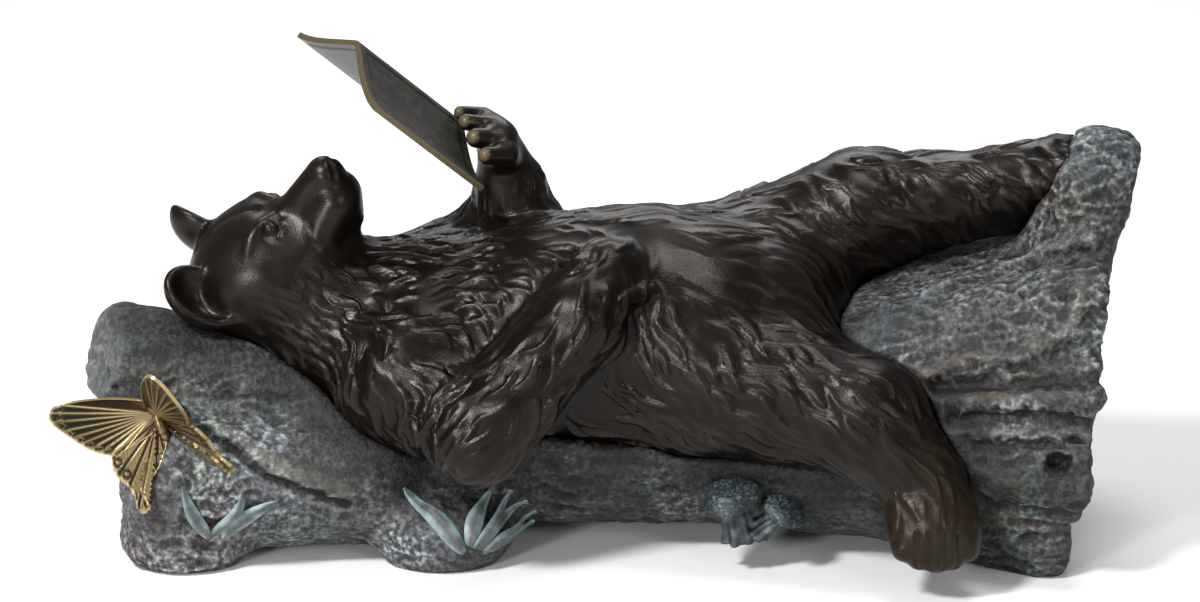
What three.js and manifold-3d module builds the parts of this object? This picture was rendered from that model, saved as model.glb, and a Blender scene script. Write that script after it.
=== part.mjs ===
// Garden statue: a bear on its back on a fallen log, one paw on its belly and the other holding up an open
// book, with a butterfly perched on the log's sawn end. Millimetres, +Z up, +X from the bear's head to its
// feet, -Y the side that the statue is seen from. The origin is the middle of the underside.
//
// The bear and the log are modelled in clay fashion: tapered limbs and egg-shaped masses are melted together
// as a distance field, locks of fur are laid on, and the field's surface is turned into facets and thinned.
// The book and the butterfly are built from outlines. Every place is written in one modelling frame, whose
// X = 0 is near the bear's belly and whose Z = 0 is the ground.
import * as THREE from "three";
import { mergeVertices } from "three/addons/utils/BufferGeometryUtils.js";
import Module from "manifold-3d";

const wasm = await Module();
wasm.setup();

// Driving dimensions
const rootEndX = 238; // the sawn root end, at mid height
const rootEndLean = 0.1; // the sawn root end leans outwards by this much for each millimetre of height
const restGap = 0.6; // between one piece and the next
const bedGap = 4.6; // the hollow in the log that the bear lies in clears its body by this much, for the fur
const groundBite = 40; // depth of the block that trims the underside flat

const bearCell = 3.6; // size of the sampling cells
const logCell = 5;
const bearFacets = 5450;
const logFacets = 1740;

const bearFinish = { color: 0x2c2320, roughness: 0.42, metalness: 0.35 };
const logFinish = { color: 0x5b5c5c, roughness: 0.8, metalness: 0.1 };
const bookFinish = { color: 0x3d372c, roughness: 0.4, metalness: 0.6 };
const butterflyFinish = { color: 0x8a7140, roughness: 0.4, metalness: 0.8 };

// Small vector helpers on plain [x, y, z] lists
const plus = (a, b, k = 1) => [a[0] + k * b[0], a[1] + k * b[1], a[2] + k * b[2]];
const minus = (a, b) => plus(a, b, -1);
const dot = (a, b) => a[0] * b[0] + a[1] * b[1] + a[2] * b[2];
const times = (a, k) => [a[0] * k, a[1] * k, a[2] * k];
const unit = (a) => times(a, 1 / (Math.hypot(...a) || 1));
const between = (a, b, t) => plus(a, minus(b, a), t);
const mix = (a, b, t) => a + (b - a) * t;
const clamp01 = (t) => Math.min(1, Math.max(0, t));
const degrees = THREE.MathUtils.degToRad;

// Distance fields: each is a function of a point that is negative inside the form.
function limb(a, b, ra, rb) {
  const [lx, ly, lz] = minus(b, a);
  const length2 = lx * lx + ly * ly + lz * lz;
  return (p) => {
    const x = p[0] - a[0];
    const y = p[1] - a[1];
    const z = p[2] - a[2];
    const t = clamp01((x * lx + y * ly + z * lz) / length2);
    const off = (x - t * lx) ** 2 + (y - t * ly) ** 2 + (z - t * lz) ** 2;
    return Math.sqrt(off) - mix(ra, rb, t);
  };
}

function egg(centre, radii) {
  const [rx, ry, rz] = radii;
  return (p) => {
    const x = (p[0] - centre[0]) / rx;
    const y = (p[1] - centre[1]) / ry;
    const z = (p[2] - centre[2]) / rz;
    const near = Math.sqrt(x * x + y * y + z * z);
    const slope = Math.sqrt((x / rx) ** 2 + (y / ry) ** 2 + (z / rz) ** 2);
    return slope > 1e-9 ? (near * (near - 1)) / slope : -Math.min(rx, ry, rz);
  };
}

function melt(k, ...forms) {
  return (p) => {
    let d = forms[0](p);
    for (let i = 1; i < forms.length; i++) {
      const e = forms[i](p);
      const h = Math.max(k - Math.abs(d - e), 0) / k;
      d = Math.min(d, e) - (h * h * k) / 4;
    }
    return d;
  };
}

function carve(k, form, cutter) {
  const inverse = melt(k, (p) => -form(p), cutter);
  return (p) => -inverse(p);
}

// The part of a form that lies behind a plane through a point
const sawn = (k, form, point, normal) => carve(k, form, (p) => -dot(minus(p, point), normal));

// A form described in a local frame: where it stands and its three axes
function framed(origin, axes, form) {
  return (p) => {
    const d = minus(p, origin);
    return form([dot(d, axes[0]), dot(d, axes[1]), dot(d, axes[2])]);
  };
}

// The same, with the third axis mirrored
function mirrored(origin, axes, form) {
  return framed(origin, axes, ([x, y, z]) => form([x, y, Math.abs(z)]));
}

function slopeOf(form, p, step = 0.8) {
  const rise = (i) => {
    const d = [0, 0, 0];
    d[i] = step;
    return form(plus(p, d)) - form(minus(p, d));
  };
  return unit([rise(0), rise(1), rise(2)]);
}

function ontoSurface(form, start) {
  let p = start;
  for (let i = 0; i < 6; i++) {
    p = plus(p, slopeOf(form, p), -form(p));
  }
  return p;
}

// The field's zero surface as a closed mesh: each sampling cell is six tetrahedra, and each tetrahedron that
// the surface crosses gives one or two triangles.
const tetrahedra = [
  [0, 1, 3, 7],
  [0, 3, 2, 7],
  [0, 2, 6, 7],
  [0, 6, 4, 7],
  [0, 4, 5, 7],
  [0, 5, 1, 7],
];

function skinOf(form, low, high, cell) {
  const count = low.map((v, i) => Math.ceil((high[i] - v) / cell) + 1);
  const at = (i) => {
    const x = i % count[0];
    const y = Math.floor(i / count[0]) % count[1];
    const z = Math.floor(i / (count[0] * count[1]));
    return [low[0] + x * cell, low[1] + y * cell, low[2] + z * cell];
  };
  const total = count[0] * count[1] * count[2];
  const value = new Float64Array(total);
  for (let i = 0; i < total; i++) {
    value[i] = form(at(i));
  }
  const positions = [];
  const triangles = [];
  const crossings = new Map();
  const crossing = (i, j) => {
    const key = i < j ? i * total + j : j * total + i;
    if (!crossings.has(key)) {
      const t = THREE.MathUtils.clamp(value[i] / (value[i] - value[j]), 0.08, 0.92);
      crossings.set(key, positions.length);
      positions.push(between(at(i), at(j), t));
    }
    return crossings.get(key);
  };
  const triangle = (a, b, c, insidePoint) => {
    const across = new THREE.Vector3(...minus(positions[b], positions[a]));
    across.cross(new THREE.Vector3(...minus(positions[c], positions[a])));
    const outwards = dot(across.toArray(), minus(positions[a], insidePoint)) > 0;
    triangles.push(outwards ? [a, b, c] : [a, c, b]);
  };
  const corner = (c) => (c & 1) + ((c >> 1) & 1) * count[0] + (c >> 2) * count[0] * count[1];
  for (let z = 0; z < count[2] - 1; z++) {
    for (let y = 0; y < count[1] - 1; y++) {
      for (let x = 0; x < count[0] - 1; x++) {
        const base = x + count[0] * (y + count[1] * z);
        for (const tetrahedron of tetrahedra) {
          const corners = tetrahedron.map((c) => base + corner(c));
          const inside = corners.filter((i) => value[i] < 0);
          const outside = corners.filter((i) => value[i] >= 0);
          if (inside.length === 1) {
            triangle(...outside.map((o) => crossing(inside[0], o)), at(inside[0]));
          } else if (inside.length === 3) {
            triangle(...inside.map((i) => crossing(i, outside[0])), at(inside[0]));
          } else if (inside.length === 2) {
            const [a, b] = inside;
            const [c, d] = outside;
            triangle(crossing(a, c), crossing(a, d), crossing(b, d), at(a));
            triangle(crossing(a, c), crossing(b, d), crossing(b, c), at(a));
          }
        }
      }
    }
  }
  return { positions, triangles };
}

// Thins a mesh to a number of facets. The edge whose removal bends the surface least goes first, and
// weightAt says how much a bend counts at a place.
function thinned({ positions, triangles }, wanted, weightAt = () => 1) {
  const point = positions.map((p) => [...p]);
  const face = triangles.map((t) => [...t]);
  const alive = face.map(() => true);
  const facesOf = point.map(() => new Set());
  const bend = point.map(() => new Float64Array(10));
  const stamp = new Uint32Array(point.length);
  const normalOf = (a, b, c) => {
    const u = minus(b, a);
    const v = minus(c, a);
    return [u[1] * v[2] - u[2] * v[1], u[2] * v[0] - u[0] * v[2], u[0] * v[1] - u[1] * v[0]];
  };
  face.forEach((f, id) => {
    const corners = f.map((i) => point[i]);
    const n = normalOf(...corners);
    const area = Math.hypot(...n);
    const plane = [...unit(n), -dot(unit(n), corners[0])];
    const weight = area * weightAt(corners[0]);
    for (const i of f) {
      facesOf[i].add(id);
      let k = 0;
      for (let r = 0; r < 4; r++) {
        for (let c = r; c < 4; c++) {
          bend[i][k++] += weight * plane[r] * plane[c];
        }
      }
    }
  });
  // The best place for a merged vertex, and what the merge costs
  const merge = (u, v) => {
    const q = bend[u].map((x, k) => x + bend[v][k]);
    const middle = between(point[u], point[v], 0.5);
    const hold = 1e-3 * (q[0] + q[4] + q[7]) + 1e-9;
    const m = new THREE.Matrix3();
    m.set(q[0] + hold, q[1], q[2], q[1], q[4] + hold, q[5], q[2], q[5], q[7] + hold);
    const right = [hold * middle[0] - q[3], hold * middle[1] - q[6], hold * middle[2] - q[8]];
    const best = new THREE.Vector3(...right).applyMatrix3(m.invert()).toArray();
    const reach = Math.hypot(...minus(point[u], point[v]));
    const place = Math.hypot(...minus(best, middle)) < reach ? best : middle;
    const [x, y, z] = place;
    const square = q[0] * x * x + 2 * q[1] * x * y + 2 * q[2] * x * z + q[4] * y * y + 2 * q[5] * y * z;
    const cost = square + q[7] * z * z + 2 * (q[3] * x + q[6] * y + q[8] * z) + q[9];
    return { cost: cost + 1e-4 * reach * reach * hold, u, v, place, q, age: stamp[u] + stamp[v] };
  };
  const heap = [];
  const sift = (i) => {
    for (;;) {
      const left = 2 * i + 1;
      let least = i;
      if (left < heap.length && heap[left].cost < heap[least].cost) least = left;
      if (left + 1 < heap.length && heap[left + 1].cost < heap[least].cost) least = left + 1;
      if (least === i) return;
      [heap[i], heap[least]] = [heap[least], heap[i]];
      i = least;
    }
  };
  const push = (item) => {
    let i = heap.push(item) - 1;
    while (i > 0 && heap[(i - 1) >> 1].cost > heap[i].cost) {
      const parent = (i - 1) >> 1;
      [heap[i], heap[parent]] = [heap[parent], heap[i]];
      i = parent;
    }
  };
  const pop = () => {
    const top = heap[0];
    const last = heap.pop();
    if (heap.length) {
      heap[0] = last;
      sift(0);
    }
    return top;
  };
  const neighbours = (i) => new Set([...facesOf[i]].flatMap((f) => face[f]).filter((j) => j !== i));
  face.forEach((f) => {
    for (const [a, b] of [[f[0], f[1]], [f[1], f[2]], [f[2], f[0]]]) {
      if (a < b) push(merge(a, b));
    }
  });
  const folds = (i, other, place) =>
    [...facesOf[i]].some((f) => {
      if (face[f].includes(other)) return false;
      const before = normalOf(...face[f].map((j) => point[j]));
      const after = normalOf(...face[f].map((j) => (j === i ? place : point[j])));
      return dot(before, after) < 0.3 * Math.hypot(...before) * Math.hypot(...after);
    });
  let left = face.length;
  while (left > wanted && heap.length) {
    const { u, v, place, q, age } = pop();
    if (age !== stamp[u] + stamp[v] || !facesOf[u].size || !facesOf[v].size) continue;
    const around = neighbours(u);
    const shared = [...neighbours(v)].filter((j) => around.has(j));
    if (!around.has(v) || shared.length !== 2) continue;
    if (folds(u, v, place) || folds(v, u, place)) continue;
    point[u] = place;
    bend[u] = q;
    for (const f of facesOf[v]) {
      if (face[f].includes(u)) {
        alive[f] = false;
        left--;
        for (const j of face[f]) if (j !== v) facesOf[j].delete(f);
      } else {
        face[f] = face[f].map((j) => (j === v ? u : j));
        facesOf[u].add(f);
      }
    }
    facesOf[v].clear();
    stamp[u]++;
    stamp[v]++;
    for (const j of neighbours(u)) push(merge(u, j));
  }
  return { positions: point, triangles: face.filter((f, id) => alive[id]) };
}

// Solids for joining and cutting
function solidOf({ positions, triangles }) {
  const vertProperties = new Float32Array(positions.flat());
  const triVerts = new Uint32Array(triangles.flat());
  const mesh = new wasm.Mesh({ numProp: 3, vertProperties, triVerts });
  mesh.merge();
  return new wasm.Manifold(mesh);
}

function meshOf(geometry) {
  const bare = geometry.clone();
  bare.deleteAttribute("normal");
  bare.deleteAttribute("uv");
  const merged = mergeVertices(bare, 1e-3);
  const position = merged.getAttribute("position");
  const positions = [];
  for (let i = 0; i < position.count; i++) {
    positions.push([position.getX(i), position.getY(i), position.getZ(i)]);
  }
  const triangles = [];
  for (let i = 0; i < merged.index.count; i += 3) {
    triangles.push([0, 1, 2].map((k) => merged.index.getX(i + k)));
  }
  return { positions, triangles };
}

function geometryOf(solid) {
  const mesh = solid.getMesh();
  const geometry = new THREE.BufferGeometry();
  geometry.setAttribute("position", new THREE.BufferAttribute(mesh.vertProperties, 3));
  geometry.setIndex(new THREE.BufferAttribute(mesh.triVerts, 1));
  geometry.computeVertexNormals();
  return geometry;
}

// The same mesh with every vertex pushed outwards
function grown({ positions, triangles }, by) {
  const outwards = positions.map(() => [0, 0, 0]);
  for (const t of triangles) {
    const [a, b, c] = t.map((i) => new THREE.Vector3(...positions[i]));
    const n = b.sub(a).cross(c.sub(a)).toArray();
    for (const i of t) outwards[i] = plus(outwards[i], n);
  }
  return { positions: positions.map((p, i) => plus(p, unit(outwards[i]), by)), triangles };
}

function named(name, geometry, finish) {
  const mesh = new THREE.Mesh(geometry, new THREE.MeshStandardMaterial(finish));
  mesh.name = name;
  return mesh;
}

// The bear's joints, from the nose to the feet. Near is the side towards -Y, and far the side towards +Y.
const skull = [-174, -4, 142];
const neckRoot = [-104, 0, 100];
const chest = [-72, 0, 98];
const waist = [-14, 0, 104];
const belly = [30, 0, 106];
const pelvis = [78, 0, 106];
const nearShoulder = [-92, -40, 90];
const nearElbow = [-58, -74, 73];
const nearWrist = [-10, -62, 128];
const nearPaw = [5, -45, 147];
const farShoulder = [-98, 40, 114];
const farElbow = [-45, 45, 142];
const farWrist = [-45, 31, 172];
const farPaw = [-51, 22, 198];
const nearHip = [58, -34, 94];
const nearKnee = [128, -68, 81];
const nearAnkle = [156, -82, 52];
const nearToes = [161, -98, 28];
const farHip = [68, 34, 122];
const farKnee = [132, 36, 158];
const farAnkle = [204, 26, 172];
const farToes = [230, 21, 183];

// The head looks up over the chest, and is turned a little towards the viewer.
const headPitch = degrees(54);
const headTurn = degrees(16);
const headSwing = degrees(4);

function headAxes() {
  const pose = new THREE.Matrix4().makeRotationZ(headSwing);
  pose.multiply(new THREE.Matrix4().makeRotationX(headTurn));
  const turned = (x, y, z) => new THREE.Vector3(x, y, z).applyMatrix4(pose).toArray();
  const forwards = turned(Math.cos(headPitch), 0, Math.sin(headPitch));
  const upwards = turned(-Math.sin(headPitch), 0, Math.cos(headPitch));
  return [forwards, upwards, turned(0, -1, 0)];
}

// In the head's own frame: forwards, upwards and sideways from the middle of the skull
function headForm() {
  const skullEgg = egg([-2, -2, 0], [35, 28, 36]);
  const cheek = egg([11, -17, 17], [23, 22, 18]);
  const jaw = limb([14, -29, 0], [49, -26, 0], 14, 7);
  const bridge = limb([27, -4.5, 0], [61, -3, 0], 11.5, 9.5);
  const muzzle = limb([30, -14, 5], [55, -14, 4], 12.5, 10.5);
  const flank = limb([16, -17, 17], [52, -15, 6], 13, 10);
  const lip = egg([55.5, -15, 0], [11.5, 11.5, 13]);
  const brow = egg([17, 6.5, 12], [11, 9, 9.5]);
  const orbit = egg([24, -3, 8], [12, 10, 10]);
  const socket = egg([35, 6, 21], [7, 5, 6]);
  const nose = egg([62.5, -4, 0], [8, 9, 9.5]);
  const eye = egg([28.2, 5.4, 14.6], [4.2, 4.2, 4.2]);
  const browed = melt(8, melt(12, skullEgg, cheek, jaw), brow);
  const face = melt(8, melt(6, browed, orbit), melt(5, bridge, muzzle, lip, flank));
  return melt(0.6, melt(2.5, carve(4, face, socket), nose), eye);
}

// A cupped ear that opens forwards and outwards, on the side where its cup stands
function earForm(cup) {
  const opening = unit([0.85, 0.05, 0.5 * Math.sign(cup[2])]);
  const rim = egg(cup, [16, 21, 14]);
  const back = sawn(3, rim, plus(cup, opening), opening);
  const hollow = egg(plus(cup, opening, 7), [12, 16.5, 10]);
  return carve(2, back, hollow);
}

const nearEarCup = [-12, 17, 32];
const farEarCup = [-7, 21, -27];

// Toes with claws, fanned across the end of a paw
function toes(heel, tip, across, spread, radius) {
  const count = 5;
  const forms = [];
  for (let i = 0; i < count; i++) {
    const side = (i / (count - 1) - 0.5) * 2;
    const shift = times(across, side * spread);
    const root = plus(between(heel, tip, 0.35), shift, 0.85);
    const end = plus(plus(tip, shift), minus(tip, heel), -0.16 * side * side);
    forms.push(limb(root, end, radius * 1.1, radius * 0.8));
  }
  return melt(2, ...forms);
}

function bearClay() {
  const axes = headAxes();
  const ears = [nearEarCup, farEarCup].map((cup) => framed(skull, axes, earForm(cup)));
  const head = melt(4, mirrored(skull, axes, headForm()), ...ears);
  const torso = melt(
    26,
    limb(chest, waist, 52, 54),
    limb(waist, belly, 54, 57),
    limb(belly, pelvis, 57, 49),
  );
  const neck = limb(plus(skull, [8, 2, -14]), neckRoot, 33, 52);
  const nearThigh = limb(nearHip, nearKnee, 42, 28);
  const nearShin = limb(nearKnee, nearAnkle, 27, 20);
  const nearFoot = limb(plus(nearAnkle, [0, 0, -14]), between(nearAnkle, nearToes, 0.75), 18, 16);
  const farThigh = limb(farHip, farKnee, 42, 31);
  const farShin = limb(farKnee, farAnkle, 30, 21);
  const farFoot = limb(farAnkle, farToes, 20, 18);
  const farUpperArm = limb(farShoulder, farElbow, 29, 25);
  const farForearm = limb(farElbow, farWrist, 21, 18);
  const nearUpperArm = limb(nearShoulder, plus(nearElbow, [-4, 8, 2]), 33, 23);
  const nearForearm = melt(8, limb(nearElbow, nearWrist, 24, 21), limb(nearWrist, nearPaw, 20, 16));
  const body = melt(18, torso, neck, farUpperArm, nearUpperArm, nearThigh, farThigh);
  const legs = melt(10, body, nearShin, nearFoot, farShin, farFoot);
  return melt(4, melt(12, melt(14, legs, farForearm), head), nearForearm);
}

// Each finger has a knuckle, a tip and a radius: the far hand's lie over the end of the book
const farFingers = [
  { knuckle: [-59, 35, 208], tip: [-69.8, 27, 211], radius: 4.4 },
  { knuckle: [-53, 26, 204], tip: [-66.5, 18.3, 208], radius: 5.2 },
  { knuckle: [-49, 18, 199], tip: [-61.5, 9.9, 201.7], radius: 6.2 },
  { knuckle: [-46, 9, 193], tip: [-56, 1.6, 194.5], radius: 5.6 },
];

// and the near hand's lie on the belly
const nearFingers = [
  { knuckle: [-10, -52, 152], tip: [2, -38, 156], radius: 5 },
  { knuckle: [-4, -62, 149], tip: [9, -44, 152], radius: 5 },
  { knuckle: [3, -66, 143], tip: [16, -50, 146], radius: 5 },
  { knuckle: [8, -68, 136], tip: [23, -55, 140], radius: 4.8 },
];

function fingersOf(list) {
  return melt(1.2, ...list.map(({ knuckle, tip, radius }) => limb(knuckle, tip, radius, radius * 0.8)));
}

function farHand() {
  const palm = limb([-56, 31, 203], [-48, 12, 193], 8, 7.5);
  const mitt = melt(6, limb(farWrist, farPaw, 18, 10.5), palm);
  return melt(3, mitt, fingersOf(farFingers));
}

function pawClay() {
  const nearFootToes = toes(plus(nearToes, [-4, 10, 22]), plus(nearToes, [-2, -6, -6]), [1, 0, 0], 15, 8);
  const instep = egg(plus(nearToes, [-2, 4, 4]), [21, 14, 15]);
  const farFootToes = toes(plus(farToes, [-12, 0, -6]), plus(farToes, [4, 0, 8]), [0, 1, 0], 15, 8);
  return melt(4, farHand(), fingersOf(nearFingers), melt(5, nearFootToes, instep), farFootToes);
}

// Locks of fur laid along a limb, tip over root, each one sunk into the clay at its root
const lockLength = 32;
const lockRadius = 7.2;
const goldenTurn = Math.PI * (3 - Math.sqrt(5));

function locksAlong(clay, from, to, radius, flow, { rows, perRow, length = lockLength, clear }) {
  const axis = unit(minus(to, from));
  const side = unit(new THREE.Vector3(...axis).cross(new THREE.Vector3(0.1, 0.3, 1)).toArray());
  const other = new THREE.Vector3(...axis).cross(new THREE.Vector3(...side)).toArray();
  const locks = [];
  for (let row = 0; row < rows; row++) {
    for (let i = 0; i < perRow; i++) {
      const number = row * perRow + i;
      const angle = (2 * Math.PI * i) / perRow + row * goldenTurn;
      const jitter = 0.5 + 0.5 * Math.sin(number * 12.9898);
      const centre = between(from, to, (row + jitter * 0.7) / rows);
      const out = plus(times(side, Math.cos(angle)), other, Math.sin(angle));
      const root = ontoSurface(clay, plus(centre, out, radius));
      if (!clear(root)) continue;
      const normal = slopeOf(clay, root);
      const wanted = flow(root, normal, number);
      const along = unit(plus(wanted, normal, -dot(wanted, normal)));
      const reach = length * (0.75 + 0.5 * jitter);
      const tip = ontoSurface(clay, plus(root, along, reach));
      const size = lockRadius * (0.8 + 0.35 * jitter);
      const sunk = plus(root, normal, -size * 0.6);
      const lifted = plus(tip, slopeOf(clay, tip), size * 0.08);
      locks.push({ form: limb(sunk, lifted, size, size * 0.42), middle: between(root, tip, 0.5), reach });
    }
  }
  return locks;
}

function furOn(clay) {
  const swirl = (number) => 0.5 * Math.sin(number * 2.4);
  const down = [0, 0, -1];
  const offFace = (p) => p[0] > skull[0] + 38 - 0.35 * (p[2] - skull[2]) || p[2] < skull[2] - 22;
  const offPaws = (p) =>
    [nearToes, farToes, farPaw, nearPaw].every((paw) => Math.hypot(...minus(p, paw)) > 30);
  const clear = (p) => offFace(p) && offPaws(p) && p[2] > 45;
  const drift = (main, sag) => (p, n, k) => plus(plus(main, down, sag), [swirl(k), 0, 0.5 * swirl(k + 2)]);
  const lay = (from, to, radius, main, sag, rows, perRow, length) =>
    locksAlong(clay, from, to, radius, drift(unit(main), sag), { rows, perRow, length, clear });
  return [
    ...lay(skull, neckRoot, 42, [0.8, 0, -0.5], 0.5, 4, 9),
    ...lay(neckRoot, waist, 56, [1, 0, -0.1], 0.5, 4, 12),
    ...lay(waist, pelvis, 58, [1, 0, 0], 0.6, 4, 12),
    ...lay(nearShoulder, nearElbow, 32, [0.6, -0.3, -0.6], 0.2, 2, 7),
    ...lay(nearWrist, nearElbow, 25, minus(nearElbow, nearWrist), 0.1, 4, 7),
    ...lay(farShoulder, farElbow, 30, minus(farElbow, farShoulder), 0, 3, 7),
    ...lay(farWrist, farElbow, 21, minus(farElbow, farWrist), 0, 2, 6, 24),
    ...lay(nearHip, nearKnee, 36, [0.7, 0, -0.4], 0.6, 4, 9),
    ...lay(nearKnee, nearAnkle, 26, minus(nearAnkle, nearKnee), 0.1, 2, 7),
    ...lay(farHip, farKnee, 36, [0.8, 0, -0.1], 0.5, 4, 9),
    ...lay(farKnee, farAnkle, 26, [0.8, 0, -0.2], 0.5, 3, 8),
  ];
}

function furred(clay, locks) {
  const softness = 2.5;
  return (p) => {
    let d = clay(p);
    if (Math.abs(d) > 3 * lockRadius) return d;
    for (const { form, middle, reach } of locks) {
      const away = minus(p, middle);
      if (dot(away, away) > (reach * 0.5 + 2 * lockRadius) ** 2) continue;
      const e = form(p);
      const h = Math.max(softness - Math.abs(d - e), 0) / softness;
      d = Math.min(d, e) - (h * h * softness) / 4;
    }
    return d;
  };
}

const bearForm = (() => {
  const clay = bearClay();
  return melt(4, furred(clay, furOn(clay)), pawClay());
})();
const faceDetail = (p) => (Math.hypot(...minus(p, plus(skull, [14, 0, 18]))) < 72 ? 5 : 1);
const bearSkin = skinOf(bearForm, [-230, -130, -6], [262, 104, 236], bearCell);
const bearMesh = thinned(bearSkin, bearFacets, faceDetail);

// The log: a trunk with a sawn branch and a root at the head end, and a fan of buttress roots at the foot end
function logClay() {
  const trunk = limb([-186, 8, 58], [140, 4, 62], 52, 58);
  const branchEnd = [-234, -28, 101];
  const branchCut = unit([-0.86, -0.42, 0.28]);
  const branch = sawn(3, limb(branchEnd, [-140, -6, 66], 25, 40), plus(branchEnd, [-10, -4, 3]), branchCut);
  const rootEnd = [-212, -36, 44];
  const rootCut = unit([-1, -0.25, 0.12]);
  const root = sawn(6, limb(rootEnd, [-118, -26, 42], 39, 38), plus(rootEnd, [-22, 0, 0]), rootCut);
  const feet = [
    egg([-204, -46, 12], [32, 24, 20]),
    egg([-78, -44, 14], [35, 26, 22]),
    egg([-190, 44, 14], [34, 26, 24]),
    egg([-60, 44, 14], [32, 26, 24]),
  ];
  const fan = [
    [[110, -12, 72], [244, -46, 128], 46, 24],
    [[110, -16, 60], [244, -71, 96], 46, 17],
    [[110, -16, 54], [236, -72, 54], 44, 22],
    [[110, -10, 50], [216, -56, 14], 38, 20],
    [[110, 14, 70], [244, 56, 132], 46, 27],
    [[110, 16, 60], [240, 78, 84], 46, 24],
    [[110, 12, 50], [226, 62, 18], 40, 22],
  ].map((r) => limb(...r));
  const topRoot = melt(
    12,
    limb([130, 6, 70], [236, 12, 116], 44, 36),
    limb([238, 12, 118], [249, 14, 174], 34, 32),
  );
  const topEnd = sawn(6, topRoot, [266, 0, 190], unit([1, 0, -0.3]));
  const timber = melt(12, melt(8, melt(16, trunk, ...feet), branch, root), melt(9, ...fan));
  const ended = melt(16, sawn(5, timber, [rootEndX, 0, 100], unit([1, 0, -rootEndLean])), topEnd);
  const knotHole = egg([218, -98, 63], [8, 22, 7]);
  return carve(3, ended, knotHole);
}

// Ripples of bark along the timber
function barked(form) {
  const depth = 1.6;
  return (p) => {
    const turn = Math.atan2(p[2] - 55, p[1] - 5);
    const ripple = Math.sin(turn * 15 + 0.03 * p[0] + 1.4 * Math.sin(p[0] * 0.045 + 2 * turn));
    const fade = clamp01((rootEndX - 4 - p[0]) / 16);
    return form(p) - depth * fade * ripple;
  };
}

function placedMesh(geometry, matrix) {
  return meshOf(geometry.clone().applyMatrix4(matrix));
}

// A frame standing at a point, with its Y axis along one direction and its Z axis near another
function frameAt(point, along, facing) {
  const y = new THREE.Vector3(...along).normalize();
  const x = new THREE.Vector3().crossVectors(y, new THREE.Vector3(...facing)).normalize();
  const z = new THREE.Vector3().crossVectors(x, y);
  return new THREE.Matrix4().makeBasis(x, y, z).setPosition(...point);
}

// Grass: a blade is a leaf outline, a few millimetres thick, that leans out from the log
const bladeThickness = 3.4;

function bladeShape(length, width) {
  const shape = new THREE.Shape();
  shape.moveTo(-width * 0.35, -4);
  shape.quadraticCurveTo(-width * 0.75, length * 0.45, 0, length);
  shape.quadraticCurveTo(width * 0.75, length * 0.45, width * 0.35, -4);
  return shape;
}

function grassTuft(form, base, blades) {
  const root = ontoSurface(form, base);
  const facing = slopeOf(form, root);
  return blades.map(([lean, length, width]) => {
    const angle = degrees(lean);
    const along = [Math.sin(angle), 0, Math.cos(angle)];
    const flat = unit(plus(along, facing, -dot(along, facing)));
    const shape = new THREE.ExtrudeGeometry(bladeShape(length, width), {
      depth: bladeThickness,
      bevelEnabled: false,
      curveSegments: 3,
    });
    shape.translate(0, 0, -bladeThickness * 0.45);
    return placedMesh(shape, frameAt(root, plus(flat, facing, 0.1), facing));
  });
}

const leftTuft = { base: [-186, -84, 22], blades: [[-28, 33, 8], [18, 25, 8], [45, 36, 9]] };
const middleTuft = {
  base: [-70, -76, 16],
  blades: [[-38, 42, 8], [12, 32, 10], [30, 36, 8], [44, 38, 8], [56, 38, 8]],
};

// Mushrooms: a cap and a stem turned on a lathe, leaning out of the log
function mushroom(form, foot, tilt, size) {
  const profile = [
    [0, -6], [4, -6], [4, 10], [12, 9.5], [12.5, 15], [7, 20.5], [0, 22],
  ].map(([r, z]) => new THREE.Vector2(r * size, z * size));
  const turned = new THREE.LatheGeometry(profile, 9);
  return placedMesh(turned, frameAt(ontoSurface(form, foot), tilt, [0.3, -1, 0.2]));
}

const mushrooms = [
  [[68, -44, 24], [-0.25, -0.5, 0.8], 1.05],
  [[76, -44, 24], [0.75, -0.5, 0.45], 0.95],
];

function logSolid() {
  const lying = melt(4, bearClay(), pawClay());
  const form = carve(2, barked(logClay()), (p) => lying(p) - bedGap);
  const mesh = thinned(skinOf(form, [-270, -130, -34], [290, 130, 236], logCell), logFacets);
  const additions = [
    ...grassTuft(form, leftTuft.base, leftTuft.blades),
    ...grassTuft(form, middleTuft.base, middleTuft.blades),
    ...mushrooms.map((m) => mushroom(form, ...m)),
  ];
  const joined = additions.reduce((all, next) => all.add(solidOf(next)), solidOf(mesh));
  const ground = new THREE.BoxGeometry(800, 500, groundBite).translate(0, 0, -groundBite / 2);
  return joined.subtract(solidOf(grown(bearMesh, restGap))).subtract(solidOf(meshOf(ground)));
}

// The open book: two gull-winged boards that meet at the spine, cast as one sheet
const spineHead = [-118, 0, 252];
const spineLength = 76;
const pageWidth = 52;
const boardThickness = 3;
const spineWay = unit([0.64, 0.456, -0.619]);
const nearWay = unit([0.48, -0.866, -0.141]);
const readerWay = unit([-0.6, -0.207, -0.773]);

// How far a board dips towards the reader, along its width from the spine
const boardDip = (t, dip) => dip * (1.9 * t - 0.9 * t * t) - 2.4 * Math.sin(Math.PI * t) * (1 - t);

function bookGeometry() {
  const steps = 8;
  const front = [];
  for (let i = -steps; i <= steps; i++) {
    const t = Math.abs(i) / steps;
    const dip = boardDip(t, i < 0 ? 13 : 20);
    front.push(new THREE.Vector2((i / steps) * pageWidth, dip));
  }
  const back = front.map((v) => new THREE.Vector2(v.x, v.y + boardThickness)).reverse();
  const section = new THREE.Shape([...front, ...back]);
  const sheet = new THREE.ExtrudeGeometry(section, { depth: spineLength, bevelEnabled: false });
  const basis = [nearWay, readerWay, spineWay].map((v) => new THREE.Vector3(...v));
  const stand = new THREE.Matrix4().makeBasis(...basis).setPosition(...spineHead);
  return sheet.applyMatrix4(stand);
}

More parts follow.
